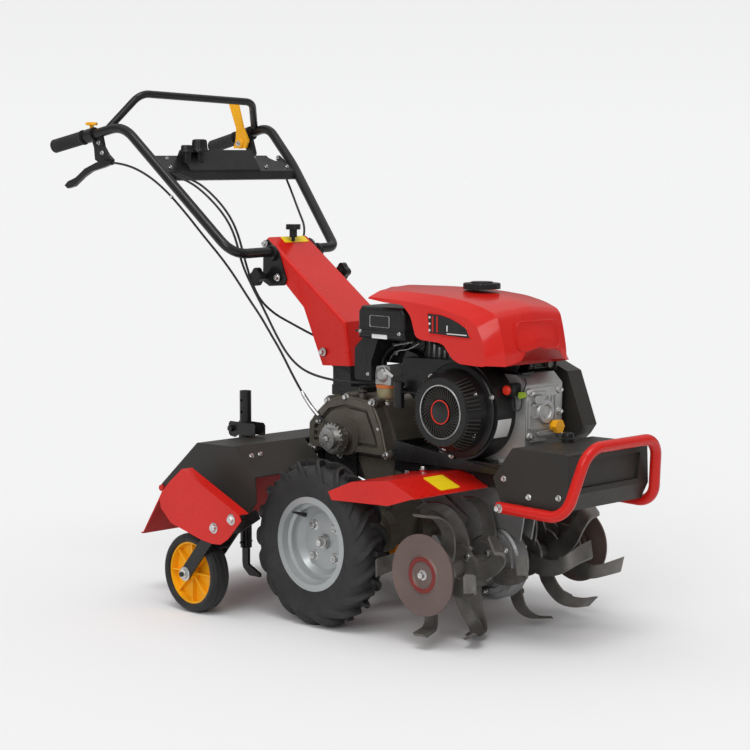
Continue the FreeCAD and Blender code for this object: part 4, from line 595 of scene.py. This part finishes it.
# recoil starter: slanted vents round a bare badge, long vents on the rim, screws
recoilSetup = {
    "ahead": 317, "up": 338, "vents": 40, "inner": 32, "outer": 57, "thick": 1.3, "lean": 0.016,
    "rimFans": ((8, 62), (-62, -7), (118, 168), (192, 244)), "rimThick": 1.5,
    "screws": (30, 150, -34, 260), "ears": (20, 140, 260),
}
fanAhead, fanUp = recoilSetup["ahead"], recoilSetup["up"]
inner, outer = recoilSetup["inner"], recoilSetup["outer"]
ventLine = [(inner, -180.5), (outer, -180.5), (outer, -185), (inner, -185)]
vents = bladeRing(fanAhead, fanUp, ventLine, fullTurn(recoilSetup["vents"]), recoilSetup["thick"],
                  recoilSetup["lean"])
make("recoil_vents", vents, "charcoalSheet", bevel=0.3)
faceSpot = (fanAhead, -181, fanUp)
badgeLine = [(0, 5.8), (24, 5.6), (27, 4.8), (28, 3), (28, -1), (0, -1)]
make("recoil_badge", turned(badgeLine, faceSpot, (0, -1, 0)), "blackPaint")
ringLine = [(26.2, 5.1), (26.2, 6.3), (28.4, 6.3), (28.4, 5.1)]
make("recoil_badge_ring", turned(ringLine, faceSpot, (0, -1, 0), 64, True), "brightRed")
ringLine = [(60.5, 4.6), (61, 6.2), (63.5, 6.6), (64.5, 5), (64.5, 3), (60.5, 3)]
make("recoil_bright_ring", turned(ringLine, faceSpot, (0, -1, 0), 72, True), "steel")
rimTurns = np.radians(np.concatenate([np.arange(first, last, 6) for first, last in recoilSetup["rimFans"]]))
rimVent = [(82, -183), (87, -184), (99, -153), (92, -150)]
vents = bladeRing(fanAhead, fanUp, rimVent, rimTurns, recoilSetup["rimThick"])
make("recoil_rim_vents", vents, "charcoalSheet", bevel=0.4)
bolts("recoil_screws", around(fanAhead, -153, fanUp, 90, recoilSetup["screws"]), 8.5)
bolts("recoil_bolts", around(fanAhead, -125.3, fanUp, 112, recoilSetup["ears"]), 9)

# stop switch, its plug and the blank white label on the shroud
switchSetup = {"ahead": 436, "up": 391, "face": -84, "plugAhead": 458, "plugUp": 379}
switchAhead, switchUp = switchSetup["ahead"], switchSetup["up"]
switchSpot = (switchAhead, switchSetup["face"], switchUp)
switchBody = plate(roundedBox(30, 30, 6, switchAhead, switchUp), switchSetup["face"], -56)
make("stop_switch_body", switchBody, "blackPlastic", bevel=1.2)
button = [(0, 11), (8, 10.4), (11, 8), (11.6, 5), (11.6, 0), (0, 0)]
make("stop_switch_button", turned(button, switchSpot, (0, -1, 0)), "brightRed")
switchRim = [(11.8, 0), (11.8, 4), (13.6, 4), (14.2, 3), (14.2, 0)]
make("stop_switch_rim", turned(switchRim, switchSpot, (0, -1, 0), 48, True), "blackPlastic")
plugPlace = (switchSetup["plugAhead"], switchSetup["plugUp"])
plug = [plate(roundedBox(16, 11, 2, *plugPlace), -66, -54),
        plate(roundedBox(9, 15, 2, *plugPlace), -68, -52)]
make("switch_plug", plug, "greenPlastic", bevel=0.6)
wires = [[(436, -66, 376), (438, -74, 352), (452, -72, 340), (463, -66, 352), (459, -62, 374)],
         [(459, -60, 384), (466, -56, 402), (456, -44, 414), (430, -30, 418)]]
wireTubes = [tubeShape(routed(line), 1.6, 8) for line in wires]
make("switch_wires", wireTubes, "softRubber", crease=60)
# the label: two skins of a bent sheet, at its back and its front, and the edge round them
shroudSetup = {"reaches": (117.6, 118.7), "turns": (-29, -7), "across": (-116, -70)}
turn, level = np.meshgrid(np.radians(np.linspace(*shroudSetup["turns"], 14)),
                          np.linspace(*shroudSetup["across"], 8), indexing="ij")
labelSkins = [at(fanAhead + reach * np.cos(turn), level, fanUp + reach * np.sin(turn))
              for reach in shroudSetup["reaches"]]
edges = [np.concatenate([skin[0], skin[1:, -1], skin[-1, -2::-1], skin[-2:0:-1, 0]]) for skin in labelSkins]
labelParts = [gridShape(skin, wrapColumns=False) for skin in labelSkins[::-1]]
labelParts.append(gridShape(np.stack(edges), capped=False))
make("shroud_label", labelParts, "whitePrint", crease=50)
print("recoil starter made")

# air cleaner: a framed bare label, a small white label, screws and marks on its neck
cleanerSetup = {
    "label": (64, 27, 3, 105, 535), "blank": (50, 10, 1.5, 104, 499), "face": -171.2,
    "marks": (424, 434, 444), "screws": [(24, -128, 400), (42, -173, 509), (172, -173, 509)],
    "lid": (30, 517, 155, 2.5),
}
outline = roundedBox(*cleanerSetup["label"])
make("cleaner_label", plate(outline, cleanerSetup["face"], -169), "blackPaint",
     bevel=0.3)
make("cleaner_label_frame", tubeShape(sideLine(looped(outline), cleanerSetup["face"]), 0.8, 8), "zinc")
make("cleaner_blank_label", plate(roundedBox(*cleanerSetup["blank"]), -170.9, -169), "whitePrint")
neckMarks = [plate(roundedBox(9, 5, 2.4, 14, up), -129.2, -127) for up in cleanerSetup["marks"]]
make("cleaner_neck_marks", neckMarks, "charcoalSheet", bevel=0.4)
bolts("cleaner_screws", cleanerSetup["screws"], 6)
make("cleaner_lid_seam", plate(rectangle(*cleanerSetup["lid"]), -171, -60), "blackPlastic", bevel=0.5)

# carburettor: cast body, olive bowl on an orange seal, throat ring and throttle lever
carbSpot = (58, -94, 372)
bodyLine = [(37, 375), (88, 375), (90, 390), (84, 422), (66, 424), (40, 420), (36, 400)]
capLine = [(0, 9), (11, 9), (15, 6), (18, 2), (19, 0), (19, -3), (0, -3)]
body = [plate(bodyLine, -116, -57), turned(capLine, (62, -116, 400), (0, -1, 0)),
        turned([(0, 26), (13, 26), (13, -6), (0, -6)], (74, -52, 402), (1, 0, 0), 32)]
make("carburettor_body", body, "aluminium", replaces=("carburettor",), bevel=1.2)
bowl = [(0, -41), (4, -41), (6, -38), (6, -34), (17, -33), (23, -30), (26.4, -24), (27, -8), (27, -4),
        (0, -4)]
make("carburettor_bowl", turned(bowl, carbSpot), "oliveBowl", bevel=0.8)
seal = [(0, -4.4), (28.4, -4.4), (28.8, -3.6), (28.8, 2.4), (28.4, 3), (0, 3)]
make("carburettor_seal", turned(seal, carbSpot), "orangeSeal")
bolts("carburettor_bolt", [(58, -94, 330.6)], 10, (0, 0, -1))
lever = [plate([(66, 408), (100, 396), (104, 402), (72, 420)], -122, -119),
         turned([(0, 9), (4, 9), (5, 7), (5, -6), (0, -6)], (71, -117, 412), (0, -1, 0), 24)]
make("carburettor_lever", lever, "zinc", bevel=0.4)

# crankcase front: cover plate with bosses, bolts and ribs; muffler louvres under the cover's nose
crankSetup = {
    "face": 464, "bosses": [(-42, 282), (62, 282), (-42, 384), (62, 384), (62, 333)],
    "ribs": (22, 34, 46), "louvres": (433, 439, 445),
}
face = crankSetup["face"]
bossLine = [(0, 6), (8, 6), (9.5, 4), (10.5, 0), (0, 0)]
domeLine = [(0, 4), (14, 4), (17, 8), (27, 8), (30, 3), (31, 0), (0, 0)]
casting = [plate(roundedBox(124, 122, 16, 10, 333), face - 2, 466, "front")]
casting += [turned(bossLine, (face, y, z), (1, 0, 0), 28) for y, z in crankSetup["bosses"]]
casting += [plate(rectangle(y, 296, 4, 76), face, 470, "front") for y in crankSetup["ribs"]]
casting.append(turned(domeLine, (face + 1, 12, 336), (1, 0, 0), 48))
casting.append(plate(roundedBox(34, 20, 8, -14, 366), face, 474, "front"))
casting.append(plate(rectangle(-48, 300, 4, 66), face, 471, "front"))
casting.append(plate(roundedBox(60, 12, 5, 12, 286), face, 472, "front"))
make("crankcase_cover", casting, "aluminium", bevel=0.9)
bolts("crankcase_bolts", [(470, y, z) for y, z in crankSetup["bosses"]], 10, (1, 0, 0))
bolts("engine_foot_bolts", [(x, y, 225.6) for x in (239, 429) for y in (-68, 88)], 12, (0, 0, 1))
louvres = [plate(rectangle(14, z, 72, 3.4), 424, 430, "front") for z in crankSetup["louvres"]]
make("muffler_louvres", louvres, "blackPaint", bevel=0.6)
print("engine made")

# gearbox: raised arched rim and ribs on the near cover, bolts round it, breather, drive bolt, cable end
gearSetup = {
    "face": -91, "ears": [(-213, 196), (-150, 318), (-84, 332), (6, 326), (54, 199)],
    "coverBolts": [(-186, 262), (28, 262), (-80, 208)],
    "rim": [(-216, 203), (-214, 258), (-186, 286), (-152, 314), (-118, 326), (-84, 331), (-40, 328),
        (0, 322), (22, 290), (36, 256), (50, 203)],
    "ribs": [((-205, -90, 206), (44, -90, 206)), ((-150, -88, 246), (-190, -88, 232)),
        ((-30, -88, 262), (14, -88, 282))],
}
rimLine = np.array(gearSetup["rim"], float)
innerLine = (rimLine - (-82, 214)) * 0.84 + (-82, 216)
ribs = [tubeShape(smoothPath(sideLine(rimLine, gearSetup["face"])), 4.2, 12),
        tubeShape(smoothPath(sideLine(innerLine, gearSetup["face"] + 3)), 2.6, 10)]
ribs += [tubeShape(at(*np.linspace(first, last, 6).T), 2.4, 10) for first, last in gearSetup["ribs"]]
make("gearbox_rim", ribs, "bronzeCasting", crease=50)
bolts("gearbox_bolts", [(u, -96, v) for u, v in gearSetup["ears"]], 13)
bolts("gearbox_cover_bolts", [(u, -93, v) for u, v in gearSetup["coverBolts"]], 10)
breather = [(0, 8), (6, 8), (8.5, 6), (9, 3), (9, -6), (11, -7), (11, -10), (0, -10)]
make("gearbox_breather", turned(breather, (-44, -78, 354), steps=32), "blackPlastic")
bolts("drive_hub_bolt", [(-85, -158, 233)], 17)
ferruleRadius = np.interp(np.arange(15), (0, 2, 12, 14), (3.4, 5.6, 5.6, 4.2))
ferrule = tubeShape(cablePaths["brake"][-20:-5], ferruleRadius, 14)
make("brake_cable_end", ferrule, "zinc")
print("gearbox made")

# column, clamp and hood: bolts and bare yellow labels
labelSetup = {
    "column": (-387, 14, 709.2), "columnUp": (0.578, 0, 0.816), "fender": (332, 196, 175.6),
    "fenderUp": (0.367, 0, 0.930),
}
columnLabel = slabShape(roundedBox(84, 24, 3), 0, 1.4)
make("column_label", moved(columnLabel, at(*labelSetup["column"]), labelSetup["columnUp"]), "yellowLabel")
bolts("column_bolts", [(-186, -78.2, 436)], 15)
bolts("column_bolts_left", [(-186, 78.2, 436)], 15, (0, 1, 0))
fenderLabel = slabShape(roundedBox(66, 62, 4), 0, 1.2)
for name, side in sides:
    place = at(*labelSetup["fender"]) * (1, side, 1)
    make("fender_label_" + name, moved(fenderLabel, place, labelSetup["fenderUp"]), "yellowLabel")
pairedBolts("clamp_bolts", [(-396, 81.4, 700), (-350, 81.4, 616)], 13.5, body="handle")
pairedBolts("hood_bolts", [(-202, 306, 193.6), (-203, 276, 194.4), (-203, 90, 194.4)], 9, (0.647, 0, 0.763))
pairedBolts("fender_bolts", [(130, 100, 164), (182, 100, 180)], 12, (0, 0, 1))
pairedBolts("box_bolts", [(478, 145, 196), (553, 145, 162), (640, 145, 170)], 10)
pairedBolts("bumper_bolts", [(488, 173.6, 132)], 15)
pairedBolts("plate_bolts", [(-214, 419.4, 27), (-150, 419.4, 56)], 19, height=6.4)
pairedBolts("arm_bolt", [(-328, 416, -103)], 25, height=8.6)
quarters = (45, 135, 225, 315)
pairedBolts("rim_nuts", around(0, 250.2, 0, 52, quarters), 19, body="wheel_", height=9)
pairedBolts("axle_nut", [(0, 262, 0)], 20, body="wheel_")
boxKnob = [(0, 9), (9, 8.6), (13, 6), (14, 2), (14, -4), (17, -6), (17, -9), (0, -9)]
make("box_knob", turned(boxKnob, (530, 20, 284)), "blackPlastic")

# tine rotor: bolts on the flanges and the drum, a bolt and a painted ring on each end disc
rotorSetup = {
    "ahead": 350, "up": -27, "flanges": (80, 152, 228), "flangeBolts": 40, "drumBolts": 70,
    "drumFaces": {"right": -60, "left": 5},
}
ahead, up = rotorSetup["ahead"], rotorSetup["up"]
heads = [spot for flange in rotorSetup["flanges"]
         for spot in around(ahead, flange + 3.2, up, rotorSetup["flangeBolts"], quarters)]
pairedBolts("flange_bolts", heads, 15, body="tine_rotor", finishName="steel")
pairedBolts("disc_bolt", [(ahead, 277, up)], 17, body="tine_rotor")
discRing = [(31, 0), (33, 2.4), (37, 3.4), (41, 2.4), (43, 0), (41, -1.5), (33, -1.5)]
for name, side in sides:
    ring = turned(discRing, (ahead, side * 279.4, up), (0, side, 0), 64, True)
    make("disc_ring_" + name, ring, "discRed", body="tine_rotor")
    face = rotorSetup["drumFaces"][name]
    drumSpots = around(ahead, face, up, rotorSetup["drumBolts"], np.arange(30, 390, 60))
    bolts("drum_bolts_" + name, drumSpots, 11, (0, side, 0))
print("rotor details made")

# handle: ribbed grips, fluted dials, panel screws, a cable tie
gripSetup = {"end": (-1010.0, 280.0, 950.0), "top": (-752.0, 257.0, 1003.0), "ribs": (6, 106, 6.6)}
gripEnd, gripTop = np.array(gripSetup["end"]), np.array(gripSetup["top"])
gripAim = (gripEnd - gripTop) / np.linalg.norm(gripEnd - gripTop)
ribLine = [(16.6, -2.2), (18.2, -1.4), (18.4, 0), (18.2, 1.4), (16.6, 2.2)]
for name, side in sides:
    aim, end = gripAim * (1, side, 1), gripEnd * (1, side, 1)
    rings = [turned(ribLine, end - aim * back, aim, 36, True) for back in np.arange(*gripSetup["ribs"])]
    make("grip_ribs_" + name, rings, "softRubber", body="handle", crease=50)
# each dial: its place, then how many times as wide and as tall as the line it is
dialSetup = {
    "dials": ((-632, -98, 1.22, 1.9), (-632, -142, 0.92, 1.05)), "foot": 934, "flutes": 10,
    "depth": 0.045,
    "line": [(19.6, 0), (19.8, 2), (19.0, 3.4), (17.6, 4), (16.6, 7), (15.9, 14), (14.8, 17), (9, 18),
        (0.1, 18)],
}
dialLine = np.array(dialSetup["line"])
angle = fullTurn(80)
depth = np.where(dialLine[:, 1] > 3.9, dialSetup["depth"], 0)[:, None]
flute = depth * np.cos(dialSetup["flutes"] * angle)[None]
dials = []
for ahead, side, wide, tall in dialSetup["dials"]:
    radius = dialLine[:, :1] * (1 + flute) * wide
    up = dialSetup["foot"] + dialLine[:, 1:] * tall
    dials.append(gridShape(at(ahead + radius * np.cos(angle), side + radius * np.sin(angle), up)))
    dials.append(turned([(0, 934.5), (11.6, 934.5), (11.6, 905.5), (0, 905.5)], (ahead, side, 0), steps=32))
make("dial_knobs", dials, "blackPlastic", body="handle", replaces=("panel_knobs",), crease=40)
panelSpots = [(-660, y, 917.4) for y in (-186, 120, 206)] + [(-622, y, 894.4) for y in (-206, 130, 206)]
bolts("panel_screws", panelSpots, 7, (0.516, 0, 0.857), body="handle")
tieSpot = int(len(cablePaths["brake"]) * 0.2)
tiePoint = cablePaths["brake"][tieSpot]
tieAim = cablePaths["brake"][tieSpot + 1] - tiePoint
tieRing = [(3.2, -2.5), (4.8, -2.5), (4.8, 2.5), (3.2, 2.5)]
make("cable_tie", moved(turnedShape(tieRing, 24, True), tiePoint, tieAim), "whitePrint", body="handle")
bolts("lever_screws", [(-842, -267, 958), (-828, -267, 932)], 8, body="handle")
print("handle details made")

# handlebar tube: straight runs with bends between them, drawn from grip to grip
barSetup = {
    "radius": 12.7, "bends": (92, 104, 48, 90, 80),
    "corners": [(-1010, -280, 950), (-752, -257, 1003), (-374, -212, 678), (-374, 146, 686),
        (-636, 241.5, 900), (-752, 257, 1003), (-1010, 280, 950)],
}


def bentPath(corners, bends):
    # each corner gets a point before and after it, its bend's length away, and the line is straight between
    corners = np.asarray(corners, float)
    points = [corners[0]]
    for before, corner, after, bend in zip(corners[:-2], corners[1:-1], corners[2:], bends):
        for other in (before, after):
            length = np.linalg.norm(other - corner)
            points.append(corner + (other - corner) / length * min(bend, length * 0.45))
        points.insert(-1, corner)
    points.append(corners[-1])
    return routed(points, 8)


bar = tubeShape(bentPath(barSetup["corners"], barSetup["bends"]), barSetup["radius"], 28)
make("handlebar_tube", bar, "blackPaint", body="handle", replaces=("handlebar",), crease=60)

# linkage behind the air cleaner: a bracket plate, governor arm, rod, a spring and the fuel pipe
linkSetup = {
    "bracket": [(16, 424), (128, 424), (150, 470), (150, 560), (40, 560), (16, 500)],
    "arm": [(60, 452), (70, 448), (140, 500), (134, 508)],
    "foot": [(96, 430), (150, 430), (150, 452), (110, 462)],
    "rod": [(46, -78, 430), (70, -84, 458), (120, -80, 462), (146, -76, 480)],
    "pipe": [(40, -92, 414), (30, -88, 440), (60, -70, 470), (110, -66, 490), (150, -60, 540)],
    "bolts": [(40, -62, 470), (118, -62, 520), (138, -72, 503), (64, -72, 450)], "springTurns": 14,
    "springRadius": 3.4, "wire": 0.8,
}
linkage = [plate(linkSetup["bracket"], -62, -58), plate(linkSetup["arm"], -72, -69),
           plate(linkSetup["foot"], -84, -62)]
make("linkage_bracket", linkage, "blackPaint", bevel=0.8)
coils, coil = linkSetup["springTurns"], linkSetup["springRadius"]
turns = np.linspace(0, 2 * np.pi * coils, coils * 12)
along = np.linspace(0, 1, len(turns))
spring = at(66 + 62 * along, -80 + coil * np.cos(turns), 470 + 12 * along + coil * np.sin(turns))
rods = [tubeShape(spring, linkSetup["wire"], 6), tubeShape(routed(linkSetup["rod"]), 1.5, 8)]
make("governor_spring", rods, "zinc", crease=60)
make("fuel_pipe", tubeShape(routed(linkSetup["pipe"]), 3.4, 12), "softRubber",
     crease=60)
bolts("linkage_bolts", linkSetup["bolts"], 8)
print("handlebar and linkage made")

# fuel tank under the cover on its stays, with the tap below it
tankSetup = {
    "front": [(196, 604), (196, 558), (232, 530), (320, 514), (424, 502), (446, 520), (446, 560),
        (330, 596)],
    "rear": [(98, 602), (98, 568), (198, 552), (198, 604)],
    "frontStay": [(345, 424.3), (430, 424.3), (450, 462), (424, 512), (330, 520)],
    "rearStay": [(150, 470), (206, 474), (206, 566), (150, 570)],
    "bolts": [(366, 448), (412, 448), (366, 500), (412, 496)],
}
tank = [plate(tankSetup["front"], -152, 72), plate(tankSetup["rear"], -38, 72)]
make("fuel_tank_body", tank, "blackPaint", bevel=6)
stays = [plate(tankSetup["frontStay"], y, y + 4) for y in (-52, -14)]
stays += [plate(tankSetup["rearStay"], y, y + 4) for y in (-32, 40)]
stays.append(plate(rectangle(-52, 424.3, 42, 5.7), 345, 452, "front"))
make("tank_stays", stays, "blackPaint", bevel=1.0)
bolts("tank_bolts", [(u, -52, v) for u, v in tankSetup["bolts"]], 9)
tap = [(0, 8), (9, 8), (10, 5), (10, -4), (6, -8), (6, -18), (0, -18)]
make("fuel_tap", turned(tap, (214, -96, 534), steps=32), "brightRed", bevel=0.6)
print("fuel tank made")

# thumb knob with lobes round it, folding lever's pivot, hitch plates between gearbox and rear frame
knobSetup = {
    "middle": 15.5, "lobe": 3.2, "lobes": 4,
    "line": [(0.30, -9), (0.34, -1), (0.94, 0), (1.0, 1.6), (1.0, 6), (0.93, 7.6), (0.4, 8.4),
        (0.01, 8.4)],
}
angle = fullTurn(72)
reach = knobSetup["middle"] + knobSetup["lobe"] * np.cos(knobSetup["lobes"] * angle)
knobLine = np.array(knobSetup["line"])
shape = np.stack([knobLine[:, :1] * reach * np.cos(angle), knobLine[:, :1] * reach * np.sin(angle),
                  knobLine[:, 1:] + 0 * angle[None]], axis=-1) / 1000
make("thumb_knob", moved(gridShape(shape), at(-871, -268, 1004.4)), "yellowPlastic", body="handle",
     replaces=("lever_knob",), bevel=0.5, crease=45)
boss = [(0, 6), (8, 6), (13, 4.5), (15, 2), (15, -8), (0, -8)]
make("folding_lever_boss", turned(boss, (-834, 224, 958), (0, -1, 0), 36), "yellowPlastic", body="handle")
bolts("folding_lever_bolt", [(-834, 218, 958)], 11, body="handle")
hitchLine = [(-232, 206), (-96, 206), (-90, 118), (-126, 96), (-200, 112), (-232, 150)]
hitch = [plate(hitchLine, y, y + 6) for y in (-52, 40)]
hitch.append(plate(rectangle(-52, 128, 98, 68), -214, -206, "front"))
make("hitch_plates", hitch, "blackPaint", bevel=1.0)
bolts("hitch_bolts", [(-212, -52, 140), (-120, -52, 120), (-150, -52, 176)], 12)

# belt guard: a raised rim inside its outline, a pressed panel with ribs, and its bolts
guardSetup = {
    "outline": [(-168, 290), (-190, 246), (-184, 208), (-146, 182), (-60, 192), (60, 219), (326, 229),
        (446, 252), (480, 280), (492, 298), (448, 412), (396, 432), (214, 432), (66, 368), (-104, 318)],
    "face": 160, "rim": 2.6, "ribs": (60, 120, 180), "ribRun": (262, 384),
    "bolts": [(-85, 233), (-150, 260), (317, 338), (400, 300), (210, 402), (60, 250)],
}
face = guardSetup["face"]
low, high = guardSetup["ribRun"]
guardLines = [smoothPath(sideLine(looped(guardSetup["outline"]), face), 2)]
guardLines += [at(*np.linspace((first, face, low), (first + 60, face, high), 8).T)
               for first in guardSetup["ribs"]]
guardRibs = [tubeShape(line, guardSetup["rim"], 10) for line in guardLines]
make("guard_ribs", guardRibs, "charcoalSheet", crease=50)
bolts("guard_bolts", [(u, face, v) for u, v in guardSetup["bolts"]], 12, (0, 1, 0))
print("small pieces made")

# floor, light and camera; what the camera sees of the sky fades a little from the horizon up
stageSetup = {
    "floorReach": 60.0, "floorColour": (0.815, 0.817, 0.82, 1), "floorRoughness": 0.9,
    "backgroundColour": (0.996, 0.999, 1.0, 1), "horizon": 0.908, "overhead": 0.858, "fadeTop": 0.09,
    "skyLow": 0.12, "skyHigh": 0.92, "skyTop": 0.9,
}
reach = stageSetup["floorReach"]
corners = [(-reach, -reach, 0), (reach, -reach, 0), (reach, reach, 0), (-reach, reach, 0)]
floorMesh = bpy.data.meshes.new("floor")
floorMesh.from_pydata(corners, [], [(0, 1, 2, 3)])
floor = bpy.data.objects.new("floor", floorMesh)
scene.collection.objects.link(floor)
floorPaint = bpy.data.materials.new("floorPaint")
floorPaint.use_nodes = True
floorShader = floorPaint.node_tree.nodes["Principled BSDF"]
floorShader.inputs["Base Color"].default_value = stageSetup["floorColour"]
floorShader.inputs["Roughness"].default_value = stageSetup["floorRoughness"]
floorShader.inputs["Specular IOR Level"].default_value = 0.0
floorMesh.materials.append(floorPaint)

world = bpy.data.worlds.new("studio")
scene.world = world
world.use_nodes = True
sky = world.node_tree
background = sky.nodes["Background"]
direction = addNode(sky, "TexCoord").outputs["Generated"]
height = addNode(sky, "SeparateXYZ", {"Vector": direction}).outputs["Z"]
glow = ramp(sky, height, 0.0, stageSetup["skyTop"], stageSetup["skyLow"], stageSetup["skyHigh"])
seen = addNode(sky, "LightPath")
light = addNode(sky, "Background", {"Color": (1, 1, 1, 1), "Strength": glow})
background.inputs["Color"].default_value = stageSetup["backgroundColour"]
fade = ramp(sky, height, 0.0, stageSetup["fadeTop"], stageSetup["horizon"], stageSetup["overhead"])
sky.links.new(fade, background.inputs["Strength"])
shares = {0: seen.outputs["Is Camera Ray"], 1: light.outputs[0], 2: background.outputs[0]}
chosen = addNode(sky, "MixShader", shares)
sky.links.new(chosen.outputs[0], sky.nodes["World Output"].inputs["Surface"])

lamps = {
    "keyLamp": {"energy": 1.0, "angle": 26, "aim": (-0.30, 0.35, -1.0)},
    "sideLamp": {"energy": 0.88, "angle": 30, "aim": (-0.45, 1.0, -0.50)},
}
for name, lamp in lamps.items():
    data = bpy.data.lights.new(name, "SUN")
    data.energy = lamp["energy"]
    data.angle = math.radians(lamp["angle"])
    made = bpy.data.objects.new(name, data)
    made.rotation_mode = "QUATERNION"
    made.rotation_quaternion = Vector(lamp["aim"]).to_track_quat("-Z", "Y")
    scene.collection.objects.link(made)

cameraSetup = {
    "place": (3.718, -3.693, 1.146), "azimuth": 44.606, "elevation": 6.208, "roll": 0.113, "lens": 99.857,
    "sensor": 36,
}
turn, lift, roll = (math.radians(cameraSetup[key]) for key in ("azimuth", "elevation", "roll"))
back = Vector((math.sin(turn) * math.cos(lift), -math.cos(turn) * math.cos(lift), math.sin(lift)))
level = Vector((math.cos(turn), math.sin(turn), 0))
upright = back.cross(level)
right = level * math.cos(roll) + upright * math.sin(roll)
cameraData = bpy.data.cameras.new("camera")
cameraData.sensor_width = cameraSetup["sensor"]
cameraData.lens = cameraSetup["lens"]
camera = bpy.data.objects.new("camera", cameraData)
camera.matrix_world = Matrix((right, back.cross(right), back)).transposed().to_4x4()
camera.location = cameraSetup["place"]
scene.collection.objects.link(camera)
scene.camera = camera
scene.view_settings.view_transform = "Standard"
print("stage set")
